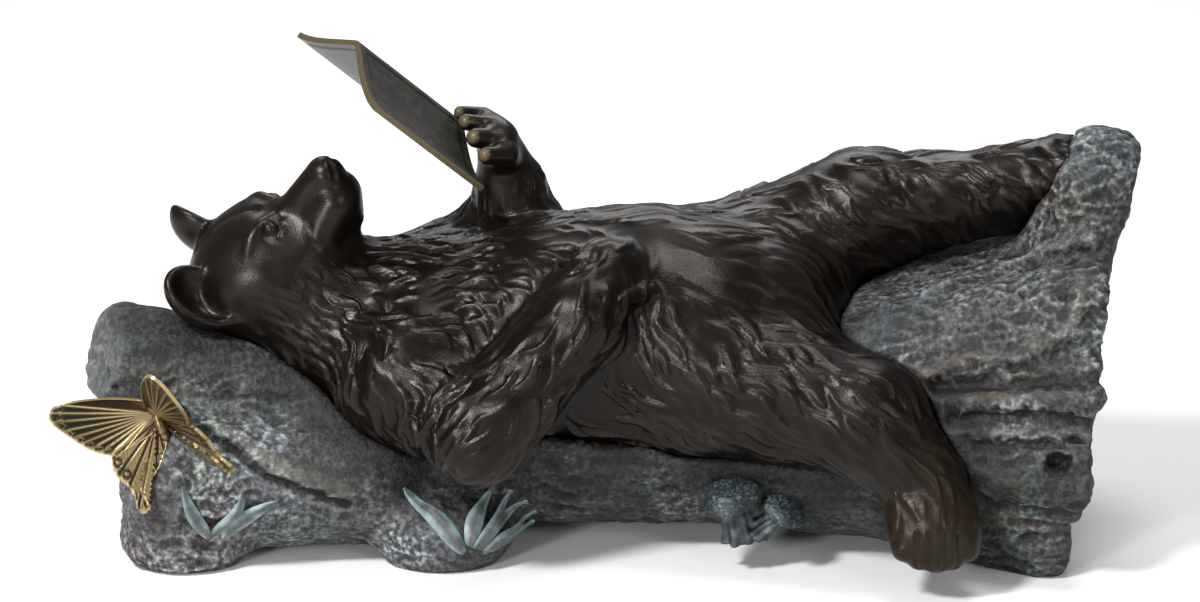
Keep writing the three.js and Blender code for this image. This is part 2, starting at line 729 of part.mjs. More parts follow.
function bookSolid() {
  const sheet = meshOf(bookGeometry());
  const inwards = new THREE.Matrix3().set(...nearWay, ...readerWay, ...spineWay).determinant() < 0;
  const triangles = inwards ? sheet.triangles.map(([a, b, c]) => [a, c, b]) : sheet.triangles;
  return solidOf({ ...sheet, triangles }).subtract(solidOf(grown(bearMesh, restGap)));
}

// The butterfly: a swallowtail with its wings half raised
const thorax = [-214, -63, 81.6];
const wingThickness = 2.2;
const bodyWay = unit([-0.375, 0.24, 0.896]);
const leftWingWay = unit([-0.895, -0.344, -0.283]);
const rightForeWay = unit([0.37, -0.85, 0.38]);
const rightHindWay = unit([0.88, -0.2, 0.42]);

// Wing outlines, in millimetres: sideways from the body, then towards the head
function foreWing() {
  const shape = new THREE.Shape();
  shape.moveTo(-1.5, -3);
  shape.lineTo(-1.5, 5);
  shape.bezierCurveTo(14, 14, 34, 21, 45, 20);
  shape.bezierCurveTo(51, 17, 46, 10, 42, 4);
  shape.bezierCurveTo(38, -3, 34, -8, 26, -12);
  shape.lineTo(6, -9);
  return shape;
}

function hindWing() {
  const shape = new THREE.Shape();
  shape.moveTo(-1.5, 3);
  shape.lineTo(8, -3);
  shape.lineTo(27, -11);
  shape.bezierCurveTo(31, -17, 30, -23, 26, -28);
  shape.lineTo(25, -36);
  shape.bezierCurveTo(25, -41, 20, -41, 20, -36);
  shape.lineTo(19, -30);
  shape.bezierCurveTo(11, -30, 5, -22, -1.5, -12);
  return shape;
}

function wing(shape, sideWay) {
  const sheet = new THREE.ExtrudeGeometry(shape, {
    depth: wingThickness,
    bevelEnabled: false,
    curveSegments: 4,
  });
  const x = new THREE.Vector3(...sideWay);
  const y = new THREE.Vector3(...bodyWay);
  x.addScaledVector(y, -x.dot(y)).normalize();
  const z = new THREE.Vector3().crossVectors(x, y);
  return solidOf(placedMesh(sheet, new THREE.Matrix4().makeBasis(x, y, z).setPosition(...thorax)));
}

function butterflySolid() {
  const body = new THREE.CapsuleGeometry(3, 26, 3, 8).translate(0, -4, 0);
  const bodyFrame = frameAt(thorax, bodyWay, [-0.5, -0.85, 0.06]);
  const wings = [
    wing(foreWing(), leftWingWay),
    wing(hindWing(), leftWingWay),
    wing(foreWing(), rightForeWay),
    wing(hindWing(), rightHindWay),
  ];
  return wings.reduce((all, next) => all.add(next), solidOf(placedMesh(body, bodyFrame)));
}

// Everything stands round the middle of the underside.
const statue = new THREE.Group();
const pieces = new THREE.Group();
const logBase = logSolid();
const butterfly = butterflySolid().subtract(solidOf(grown(meshOf(geometryOf(logBase)), restGap)));
pieces.add(named("bear", geometryOf(solidOf(bearMesh)), bearFinish));
pieces.add(named("log_base", geometryOf(logBase), logFinish));
pieces.add(named("book", geometryOf(bookSolid()), bookFinish));
pieces.add(named("butterfly", geometryOf(butterfly), butterflyFinish));
const box = new THREE.Box3().setFromObject(pieces);
const middle = box.getCenter(new THREE.Vector3());
pieces.position.set(-middle.x, -middle.y, -box.min.z);
statue.add(pieces);

export default statue;
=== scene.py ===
import math

import bpy
import numpy as np
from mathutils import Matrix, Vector, noise


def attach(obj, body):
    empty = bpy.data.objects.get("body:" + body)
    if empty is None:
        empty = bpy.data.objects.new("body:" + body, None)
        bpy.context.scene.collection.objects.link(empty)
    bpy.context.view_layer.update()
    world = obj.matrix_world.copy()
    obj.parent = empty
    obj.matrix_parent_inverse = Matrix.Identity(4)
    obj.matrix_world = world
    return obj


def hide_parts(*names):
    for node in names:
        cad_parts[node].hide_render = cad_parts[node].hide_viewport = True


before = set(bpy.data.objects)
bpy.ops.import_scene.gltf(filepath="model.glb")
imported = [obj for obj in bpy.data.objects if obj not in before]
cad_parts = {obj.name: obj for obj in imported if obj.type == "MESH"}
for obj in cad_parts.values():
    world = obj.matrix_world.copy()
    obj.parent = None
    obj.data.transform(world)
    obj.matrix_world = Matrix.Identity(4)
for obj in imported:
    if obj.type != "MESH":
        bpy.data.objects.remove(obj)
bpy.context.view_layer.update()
bpy.ops.object.select_all(action="DESELECT")

bench = {
    "shift": np.array((-2.0018, 4.9687, 0.0)),  # mm, from the clay's own centre to the frame
    "mm": 0.001,
    "seed": 12,
    "weld": 1e-6,  # m
}
dice = np.random.default_rng(bench["seed"])


def onlySelect(obj):
    bpy.ops.object.select_all(action="DESELECT")
    obj.select_set(True)
    bpy.context.view_layer.objects.active = obj


def applyModifier(obj, kind, **settings):
    onlySelect(obj)
    modifier = obj.modifiers.new(kind.title(), kind)
    for key, value in settings.items():
        setattr(modifier, key, value)
    bpy.ops.object.modifier_apply(modifier=modifier.name)


def editAll(obj, *steps):
    onlySelect(obj)
    bpy.ops.object.mode_set(mode="EDIT")
    bpy.ops.mesh.select_all(action="SELECT")
    for step in steps:
        step()
    bpy.ops.object.mode_set(mode="OBJECT")


def copyOfNode(node, name):
    onlySelect(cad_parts[node])
    bpy.ops.object.duplicate()
    piece = bpy.context.object
    piece.name = piece.data.name = name
    piece.parent = None
    for key in [k for k in piece.keys() if k.startswith("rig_")]:
        del piece[key]
    piece.data.materials.clear()
    editAll(piece, lambda: bpy.ops.mesh.remove_doubles(threshold=bench["weld"]))
    return piece


def readPoints(obj):
    flat = np.empty(len(obj.data.vertices) * 3)
    obj.data.vertices.foreach_get("co", flat)
    return flat.reshape(-1, 3) / bench["mm"] - bench["shift"]


def writePoints(obj, points):
    obj.data.vertices.foreach_set("co", ((points + bench["shift"]) * bench["mm"]).ravel())
    obj.data.update()


def meshNormals(obj):
    flat = np.empty(len(obj.data.vertices) * 3)
    obj.data.vertices.foreach_get("normal", flat)
    return unit(flat.reshape(-1, 3) + 1e-12)


def edgesOf(obj):
    pairs = np.empty(len(obj.data.edges) * 2, int)
    obj.data.edges.foreach_get("vertices", pairs)
    return pairs.reshape(-1, 2)


def evenOut(values, pairs, rounds, share=0.5):
    count = np.bincount(pairs.ravel(), minlength=len(values)).astype(float)
    count = count if values.ndim == 1 else count[:, None]
    for _ in range(rounds):
        total = np.zeros_like(values)
        np.add.at(total, pairs[:, 0], values[pairs[:, 1]])
        np.add.at(total, pairs[:, 1], values[pairs[:, 0]])
        values = values + share * (total / count - values)
    return values


def keep(obj, name, values):
    layer = obj.data.attributes.new(name, "FLOAT", "POINT")
    layer.data.foreach_set("value", values.astype(np.float32))


def thinOut(obj, triangles):
    now = sum(len(face.vertices) - 2 for face in obj.data.polygons)
    if now > triangles:
        applyModifier(obj, "DECIMATE", ratio=triangles / now)


def joinAll(pieces, name):
    bpy.ops.object.select_all(action="DESELECT")
    for piece in pieces:
        piece.select_set(True)
    bpy.context.view_layer.objects.active = pieces[0]
    bpy.ops.object.join()
    pieces[0].name = pieces[0].data.name = name
    return pieces[0]


def turnFacesOut(obj):
    editAll(obj, lambda: bpy.ops.mesh.normals_make_consistent(inside=False))


def sheetOf(name, points):
    # a grid whose points, rows by columns, are given in mm
    rows, columns = points.shape[:2]
    bpy.ops.mesh.primitive_grid_add(x_subdivisions=columns - 1, y_subdivisions=rows - 1)
    sheet = bpy.context.object
    sheet.name = sheet.data.name = name
    writePoints(sheet, points.reshape(-1, 3))
    return sheet


def smoothAndTell(obj, label, angle=None):
    onlySelect(obj)
    if angle:
        bpy.ops.object.shade_smooth_by_angle(angle=math.radians(angle))
    else:
        bpy.ops.object.shade_smooth()
    print(label, "done:", len(obj.data.polygons), "faces")
    return obj


def hangOn(obj, finish, node=None):
    obj.data.materials.append(finish)
    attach(obj, "root")
    if node:
        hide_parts(node)


# clay: each form gives the distance of points from its surface, negative inside
def limb(p, a, b, ra, rb):
    a, b = vec(a), vec(b)
    way = b - a
    t = np.clip((p - a) @ way / (way @ way), 0, 1)
    return lengthsOf(p - a - t[:, None] * way) - (ra + (rb - ra) * t)


def egg(p, centre, radii):
    q = (p - vec(centre)) / vec(radii)
    near = lengthsOf(q)
    slope = lengthsOf(q / vec(radii))
    return near * (near - 1) / np.maximum(slope, 1e-9)


def melt(k, *forms):
    d = forms[0]
    for e in forms[1:]:
        h = np.maximum(k - np.abs(d - e), 0) / k
        d = np.minimum(d, e) - h * h * k / 4
    return d


def carve(k, form, cutter):
    return -melt(k, -form, cutter)


def sawn(k, form, p, point, normal):
    return carve(k, form, -((p - vec(point)) @ unit(normal)))


def vec(v):
    return np.array(v, float)


def lengthsOf(v):
    return np.linalg.norm(v, axis=1)


def unit(v):
    v = vec(v)
    return v / np.linalg.norm(v, axis=-1, keepdims=True)


def slopeOf(form, p, step=0.5):
    total = np.zeros_like(p)
    for corner in ((1, -1, -1), (-1, -1, 1), (-1, 1, -1), (1, 1, 1)):
        total += vec(corner) * form(p + vec(corner) * step)[:, None]
    return unit(total + 1e-12)


def ontoClay(form, p, rounds=3):
    for _ in range(rounds):
        p = p - form(p)[:, None] * slopeOf(form, p)
    return p


def settleOnto(obj, form, pairs, rounds=4, soften=3, longest=6):
    # smoothed and pressed onto the clay in turn; the longest step is in mm
    p = readPoints(obj)
    for _ in range(rounds):
        p = evenOut(p, pairs, soften)
        writePoints(obj, p)
        p = p - np.clip(form(p), -longest, longest)[:, None] * evenOut(meshNormals(obj), pairs, 1)
        writePoints(obj, p)
    p = p - form(p)[:, None] * slopeOf(form, p)
    writePoints(obj, p)
    return p


def fade(low, high, x):
    # from 0 at low to 1 at high
    t = np.clip((x - low) / (high - low), 0, 1)
    return t * t * (3 - 2 * t)


def strokeDepth(p, path, width):
    # 1 along the path, falling to 0 at its width
    best = np.full(len(p), 1e9)
    for a, b in zip(path[:-1], path[1:]):
        best = np.minimum(best, limb(p, a, b, 0, 0))
    near = np.clip(1 - (best / width) ** 2, 0, 1)
    return near * near


def speckle(p, size, turn=0.0):
    return np.array([noise.noise(q) for q in (p / size + turn).tolist()])


def ripple(p, wavelength, turn=0.0):
    # a smooth wandering value from -1 to 1
    q = p * (2 * math.pi / wavelength)
    return (np.sin(q[:, 0] + 1.3 * np.sin(0.7 * q[:, 1] + turn) + turn)
            + np.sin(0.8 * q[:, 2] - 0.6 * q[:, 0] + 2.1 * np.sin(0.5 * q[:, 0] + 2 * turn))) / 2


at = {name: vec(place) for name, place in {
    "skull": (-174, -4, 142), "neckRoot": (-104, 0, 100), "chest": (-72, 0, 98),
    "waist": (-14, 0, 104), "belly": (30, 0, 106), "pelvis": (78, 0, 106),
    "nearShoulder": (-92, -40, 90), "nearElbow": (-58, -74, 73), "nearWrist": (-10, -62, 128),
    "nearPaw": (5, -45, 147), "elbowTip": (-68, -72, 62), "flankFront": (-5, -42, 86),
    "flankBack": (88, -44, 76), "farShoulder": (-98, 40, 114), "farElbow": (-45, 45, 142),
    "farWrist": (-45, 31, 172), "farPaw": (-51, 22, 198), "nearHip": (58, -34, 94),
    "nearKnee": (128, -68, 81), "nearAnkle": (156, -82, 52), "nearToes": (161, -98, 28),
    "farHip": (68, 34, 122), "farKnee": (132, 36, 158), "farAnkle": (204, 26, 172),
    "farToes": (230, 21, 183),
}.items()}  # the bear's joints, mm

figureSet = {
    "cell": 0.86, "headPitch": 54, "headTurn": 16, "headSwing": 4, "triangles": 197000,  # mm, degrees
    "lockSpacing": 0.58, "lockSink": 0.45, "lockFloor": 0.16, "lowestLock": 14, "leastRelief": 0.15,
    "gridCell": 12.0, "creaseReach": 4.5, "swellHeight": 0.8, "swellSize": 28,
    "toeGaps": (-13, -6, 2, 9), "toeGapHeights": (-12, -5, 2, 9), "toeGapWidth": 2.0, "toeGapDepth": 1.4,
}


def headFrame():
    pitch, turn, swing = (math.radians(figureSet[k]) for k in ("headPitch", "headTurn", "headSwing"))

    def pose(x, y, z):
        y, z = y * math.cos(turn) - z * math.sin(turn), y * math.sin(turn) + z * math.cos(turn)
        x, y = x * math.cos(swing) - y * math.sin(swing), x * math.sin(swing) + y * math.cos(swing)
        return x, y, z

    ahead, above = (math.cos(pitch), 0, math.sin(pitch)), (-math.sin(pitch), 0, math.cos(pitch))
    return np.array((pose(*ahead), pose(*above), pose(0, -1, 0)))


headAxes = headFrame()


def inHead(p):
    return (p - at["skull"]) @ headAxes.T


def fromHead(q):
    return at["skull"] + vec(q) @ headAxes


def headClay(p):
    q = inHead(p)
    side = q[:, 2].copy()
    q[:, 2] = np.abs(side)
    skull = egg(q, (-2, -2, 0), (35, 28, 36))
    cheek = egg(q, (11, -17, 17), (23, 22, 18))
    jaw = limb(q, (14, -29, 0), (49, -26, 0), 14, 7)
    bridge = limb(q, (27, -4.5, 0), (61, -3, 0), 11.5, 9.5)
    muzzle = limb(q, (30, -14, 5), (55, -14, 4), 12.5, 10.5)
    lip = egg(q, (55.5, -15, 0), (11.5, 11.5, 13))
    brow = egg(q, (17, 6.5, 12), (11, 9, 9.5))
    orbit = egg(q, (24, -3, 8), (12, 10, 10))
    face = melt(8, melt(12, skull, cheek, jaw), brow)
    flank = limb(q, (16, -17, 17), (52, -15, 6), 13, 10)
    face = melt(8, melt(6, face, orbit), melt(5, bridge, muzzle, lip, flank))
    face = carve(4, face, egg(q, (35, 6, 21), (7, 5, 6)))
    face = melt(2.5, face, egg(q, (62.5, -4, 0), (8, 9, 9.5)))
    face = carve(1.2, face, limb(q, (71.5, 0, 3.5), (67, -6, 9.5), 1.8, 1.2))
    face = melt(0.6, face, egg(q, (28.2, 5.4, 14.6), (4.2, 4.2, 4.2)))
    far = side < 0
    cup = np.where(far[:, None], (-7.0, 21, 27), (-12.0, 17, 32))
    opening = unit((0.85, 0.05, 0.5))
    ear = sawn(3, egg(q - cup, (0, 0, 0), (16, 21, 14)), q - cup, opening, opening)
    ear = carve(2, ear, egg(q - cup, 5 * opening, (13.2, 18, 11.3)))
    return melt(4, face, ear)


headLines = [  # path on the near side in the head's own frame, width, depth; below zero it is raised
    ([(56, -30.5, 0), (50, -30, 8), (44, -28.5, 14), (37, -26, 19)], 1.8, 1.0),
    ([(32.5, 3.5, 18.5), (30, 2, 19.5), (26, 2.5, 20), (23.5, 5, 19)], 1.1, 0.7),
    ([(33, 10, 10), (28, 12, 15), (21, 12, 20), (14, 9, 25)], 5.0, -1.7),
    ([(33, 1.5, 16.5), (28, -0.5, 19.5), (23, 1, 22)], 2.4, -0.8),
    ([(36, 5, 11), (46, 3, 11), (57, 1, 10)], 3.5, 0.7),
    ([(41, -8, 17), (35, -16, 22), (27, -24, 25)], 4.0, 0.9),
    ([(18, -2, 30), (10, -12, 34), (6, -24, 32)], 5.0, 0.8),
    ([(26, 14, 0), (10, 22, 0), (-8, 26, 0)], 5.0, 0.7),
    ([(56, -21, 0), (62, -17, 0), (66, -12, 0)], 1.3, 0.8),
]


def toes(p, heel, tip, across, spread, radius, count=5):
    heel, tip, across = vec(heel), vec(tip), vec(across)
    forms = []
    for i in range(count):
        side = (i / (count - 1) - 0.5) * 2
        root = heel + 0.35 * (tip - heel) + 0.85 * side * spread * across
        end = tip + side * spread * across - 0.16 * side * side * (tip - heel)
        forms.append(limb(p, root, end, radius * 1.1, radius * 0.8))
    return melt(2, *forms)


farFingers = [  # knuckle, tip, radius: four fingers over the end of the book
    ((-59, 35, 208), (-69.8, 27, 211), 4.4),
    ((-53, 26, 204), (-66.5, 18.3, 208), 5.2),
    ((-49, 18, 199), (-61.5, 9.9, 201.7), 6.2),
    ((-46, 9, 193), (-56, 1.6, 194.5), 5.6),
]
nearFingers = [  # and four on the belly
    ((-10, -52, 152), (2, -38, 156), 5), ((-4, -62, 149), (9, -44, 152), 5),
    ((3, -66, 143), (16, -50, 146), 5), ((8, -68, 136), (23, -55, 140), 4.8),
]
wornTips = [  # fingers, where the worn spot lies from the tip, its inner radius, how worn
    (farFingers, (-2, -3.5, 1.5), 2.8, 1), (nearFingers[::2], (1, -1, 2), 2.5, 0.4)]


def fingersOf(p, rows):
    return melt(1.2, *[limb(p, knuckle, tip, radius, radius * 0.8) for knuckle, tip, radius in rows])


def handClay(p):
    mitt = melt(6, limb(p, at["farWrist"], at["farPaw"], 18, 10.5),
                limb(p, (-56, 31, 203), (-48, 12, 193), 8, 7.5))
    return melt(3, mitt, fingersOf(p, farFingers)), fingersOf(p, nearFingers)


def footClay(p):
    nearFoot = toes(p, at["nearToes"] + (-4, 10, 22), at["nearToes"] + (-2, -6, -6), (1, 0, 0), 15, 8)
    instep = egg(p, at["nearToes"] + (-2, 4, 4), (21, 14, 15))
    farFoot = toes(p, at["farToes"] + (-12, 0, -6), at["farToes"] + (4, 0, 8), (0, 1, 0), 15, 8)
    return melt(5, nearFoot, instep), farFoot


def bearClay(p):
    torso = melt(26, limb(p, at["chest"], at["waist"], 52, 54), limb(p, at["waist"], at["belly"], 54, 57),
                 limb(p, at["belly"], at["pelvis"], 57, 49))
    neck = limb(p, at["skull"] + (8, 2, -14), at["neckRoot"], 33, 52)
    nearThigh = limb(p, at["nearHip"], at["nearKnee"], 42, 28)
    farThigh = limb(p, at["farHip"], at["farKnee"], 42, 31)
    farUpperArm = limb(p, at["farShoulder"], at["farElbow"], 29, 25)
    nearUpperArm = limb(p, at["nearShoulder"], at["nearElbow"] + (-4, 8, 2), 33, 23)
    body = melt(18, torso, neck, farUpperArm, nearUpperArm, nearThigh, farThigh)
    nearShin = limb(p, at["nearKnee"], at["nearAnkle"], 27, 20)
    sole = at["nearAnkle"] + 0.75 * (at["nearToes"] - at["nearAnkle"])
    nearFoot = limb(p, at["nearAnkle"] + (0, 0, -14), sole, 18, 16)
    farShin = limb(p, at["farKnee"], at["farAnkle"], 30, 21)
    farFoot = limb(p, at["farAnkle"], at["farToes"], 20, 18)
    legs = melt(10, body, nearShin, nearFoot, farShin, farFoot)
    farForearm = limb(p, at["farElbow"], at["farWrist"], 21, 18)
    nearForearm = melt(8, limb(p, at["nearElbow"], at["nearWrist"], 24, 21),
                       limb(p, at["nearWrist"], at["nearPaw"], 20, 16))
    figure = melt(8, melt(12, melt(14, legs, farForearm), headClay(p)), nearForearm)
    return melt(9, melt(4, figure, *handClay(p)), *footClay(p))


furZones = [  # from, to, radii, the way it is combed, lock length, width, relief, wave
    ("skull", "neckRoot", 36, 52, (0.72, 0, -0.68), 26, 6.0, 2.5, 0.6),
    ("neckRoot", "chest", 52, 54, (0.88, 0, -0.45), 23, 5.6, 2.9, 0.85),
    ("chest", "waist", 52, 54, (0.9, 0, -0.42), 25, 5.8, 2.3, 0.7),
    ("waist", "pelvis", 55, 52, (0.9, 0, -0.5), 38, 5.8, 1.1, 0.35),
    ("flankFront", "flankBack", 22, 22, (0.72, 0, -0.66), 32, 5.8, 3.3, 0.55),
    ("nearShoulder", "nearElbow", 33, 24, (0.55, -0.2, -0.78), 30, 6.6, 2.7, 0.65),
    ("nearElbow", "elbowTip", 27, 27, (-0.9, 0.1, -0.3), 36, 5.4, 2.4, 0.35),
    ("nearElbow", "nearWrist", 24, 21, (-0.6, -0.1, -0.75), 38, 6.0, 2.9, 0.5),
    ("nearWrist", "nearPaw", 20, 16, (-0.6, -0.1, -0.75), 24, 6.0, 2.0, 0.5),
    ("nearHip", "nearKnee", 42, 28, (0.75, 0, -0.6), 32, 6.6, 1.8, 0.5),
    ("nearKnee", "nearAnkle", 27, 20, (0.4, -0.1, -0.85), 30, 6.4, 1.4, 0.45),
    ("nearAnkle", "nearToes", 20, 18, (0.1, -0.2, -0.95), 20, 5.4, 1.2, 0.4),
    ("farHip", "farKnee", 42, 31, (0.68, 0, -0.68), 30, 6.8, 2.2, 0.5),
    ("farKnee", "farAnkle", 30, 21, (0.62, 0, -0.72), 26, 7.0, 2.3, 0.5),
    ("farAnkle", "farToes", 20, 18, (0.5, 0, -0.8), 19, 6.0, 1.6, 0.45),
    ("farShoulder", "farElbow", 29, 25, (0.75, 0, 0.35), 28, 6.4, 1.8, 0.5),
    ("farElbow", "farWrist", 21, 18, (0.2, 0.2, -0.9), 22, 5.8, 1.7, 0.45),
]
bareZones = [  # smooth places: from, to, radii
    (fromHead((-8, 4, 0)), fromHead((58, -10, 0)), 34, 26),
    (fromHead((-12, 17, 32)), fromHead((-7, 21, -27)), 16, 16),
    (at["farPaw"] + (-4, 0, 4), at["farPaw"] + (-10, -8, 3), 17, 17),
    (at["nearToes"] + (-2, -8, -6), at["nearToes"] + (-1, -6, -8), 10, 10),
]


def furAt(p):
    weights, rows = [], []
    for a, b, ra, rb, way, *rest in furZones:
        weights.append(np.exp(-np.maximum(limb(p, at[a], at[b], ra, rb), 0) / 6))
        rows.append((*unit(way), *rest))
    for a, b, ra, rb in bareZones:
        weights.append(25 * np.exp(-np.maximum(limb(p, a, b, ra, rb), 0) / 3))
        rows.append((*unit((0.5, 0, -0.8)), 18, 6, 0, 0.2))
    weights = np.array(weights).T
    mixed = weights @ np.array(rows) / weights.sum(1, keepdims=True)
    return unit(mixed[:, :3]), *mixed[:, 3:].T  # the way, then lock length, width, relief and wave


def scatterSeeds(p, spacing, tries=30000):
    cells, kept = {}, []
    size = spacing.max()
    homes = np.floor(p / size).astype(int)
    for i in dice.permutation(len(p))[:tries]:
        x, y, z = homes[i]
        near = [j for dx in (-1, 0, 1) for dy in (-1, 0, 1) for dz in (-1, 0, 1)
                for j in cells.get((x + dx, y + dy, z + dz), ())]
        if near and (((p[near] - p[i]) ** 2).sum(1) < spacing[i] ** 2).any():
            continue
        cells.setdefault((x, y, z), []).append(i)
        kept.append(i)
    return np.array(kept)


def combLocks(seeds, steps=8):
    spot, path, normals = seeds, [seeds], [slopeOf(bearClay, seeds)]
    _, length, width, _, wave = furAt(seeds)
    length = length * dice.uniform(0.65, 1.3, len(seeds))
    width = width * dice.uniform(0.75, 1.2, len(seeds))
    lean = dice.normal(0, 0.07 + 0.14 * wave)
    start = 3.0 * ripple(seeds, 70) + dice.normal(0, 0.5, len(seeds))
    for step in range(steps):
        out = normals[-1]
        flow = furAt(spot)[0]
        flow = unit(flow - (flow * out).sum(1, keepdims=True) * out + 1e-9)
        bend = lean + wave * np.sin(2 * math.pi * step / steps + start)
        bend = bend + 0.45 * ripple(spot, 80, 2.0)
        spot = spot + unit(flow + bend[:, None] * np.cross(out, flow)) * (length / steps)[:, None]
        spot = ontoClay(bearClay, spot, 1)
        path.append(spot)
        normals.append(slopeOf(bearClay, spot))
    return np.array(path), np.array(normals), width


def pointGrid(p, size):
    home = np.floor(p / size).astype(int)
    order = np.lexsort(home.T)
    breaks = np.nonzero(np.any(np.diff(home[order], axis=0), axis=1))[0] + 1
    return {tuple(home[group[0]]): group for group in np.split(order, breaks)}


def layFur(p, normals):
    _, length, width, relief, _ = furAt(p)
    hairy = np.nonzero((relief > figureSet["leastRelief"]) & (p[:, 2] > figureSet["lowestLock"]))[0]
    spacing = figureSet["lockSpacing"] * np.sqrt(length * width)
    seeds = p[hairy[scatterSeeds(p[hairy], spacing[hairy])]]
    paths, outs, widths = combLocks(seeds)
    strengths = dice.uniform(0.42, 1.0, len(seeds))
    print("locks of fur:", len(seeds))
    size = figureSet["gridCell"]
    grid = pointGrid(p, size)
    corners = np.array(((0, 0, 0), (1, 1, 1), (-1, -1, -1), (1, -1, 1), (-1, 1, -1)), float)
    rise = np.zeros(len(p))
    for k in range(len(seeds)):
        path = paths[:, k]
        spots = (path[None] + 0.6 * widths[k] * corners[:, None]).reshape(-1, 3)
        found = [grid[c] for c in {tuple(c) for c in np.floor(spots / size).astype(int)} if c in grid]
        if not found:
            continue
        near = np.concatenate(found)
        leg = np.diff(path, axis=0)
        rel = p[near][:, None] - path[None, :-1]
        t = np.clip((rel * leg).sum(2) / np.maximum((leg * leg).sum(1), 1e-9), 0, 1)
        gap = rel - t[..., None] * leg
        best = (gap * gap).sum(2).argmin(1)
        pick = np.arange(len(near))
        along = (best + t[pick, best]) / len(leg)
        gap, out = gap[pick, best], outs[best, k]
        side = (gap * np.cross(out, unit(leg[best]))).sum(1)
        half = np.interp(along, (0, 0.25, 0.55, 0.85, 1), (0.12, 0.8, 1, 0.55, 0.03)) * widths[k] * 0.55
        v = side / half
        facing = (normals[near] * out).sum(1)
        ok = (np.abs(v) < 1) & (np.abs((gap * out).sum(1)) < 5) & (facing > 0.35)
        ok &= (along > 0) & (along < 1)
        ramp = np.interp(along, (0, 0.3, 0.7, 0.9, 1), (0.0, 0.7, 1, 0.8, 0.35))
        dome = (1 - v * v) * (1 + 0.4 * v * (1 if k % 5 else -1) + 0.16 * np.cos(8 * v + k))
        height = np.where(ok, ramp * dome * strengths[k], 0)
        rise[near] = np.maximum(rise[near], height)
    patchy = np.clip(0.95 + 0.35 * ripple(p, 75, 0.8), 0.65, 1.2)
    clear = fade(0.8, 3.6, bearClay(p + figureSet["creaseReach"] * normals))  # 0 down in the creases
    return rise, relief * patchy * (0.12 + 0.88 * clear)


def buildBear():
    bear = copyOfNode("bear", "bear_figure")
    applyModifier(bear, "REMESH", mode="VOXEL", voxel_size=figureSet["cell"] * bench["mm"])
    pairs = edgesOf(bear)
    print("bear remeshed:", len(bear.data.vertices), "points")
    p = settleOnto(bear, bearClay, pairs)
    normals = meshNormals(bear)
    rise, relief = layFur(p, normals)
    lifted = np.maximum(evenOut(rise, pairs, 1, 0.3), figureSet["lockFloor"])
    furry = fade(0.05, 0.6, relief)
    swell = figureSet["swellHeight"] * furry * speckle(p, figureSet["swellSize"])
    depth = relief * (lifted - figureSet["lockSink"]) + swell
    for path, width, deep in headLines:
        for side in (1, -1):
            depth = depth - deep * strokeDepth(p, [fromHead((x, y, side * z)) for x, y, z in path], width)
    for dx in figureSet["toeGaps"]:
        slit = ontoClay(bearClay, at["nearToes"] + [(dx, -14, z) for z in figureSet["toeGapHeights"]])
        depth = depth - figureSet["toeGapDepth"] * strokeDepth(p, slit, figureSet["toeGapWidth"])
    writePoints(bear, p + normals * depth[:, None])
    keep(bear, "rise", 0.5 + furry * (lifted - 0.5))
    wear = np.zeros(len(p))
    for fingers, nudge, inner, share in wornTips:
        for _, tip, _ in fingers:
            wear = np.maximum(wear, share * fade(4.0, inner, lengthsOf(p - vec(tip) - nudge)))
    keep(bear, "wear", wear)
    keep(bear, "warm", fade(62, 12, lengthsOf(p - at["nearToes"]) + 10 * ripple(p, 24)))
    thinOut(bear, figureSet["triangles"])
    return smoothAndTell(bear, "bear figure")


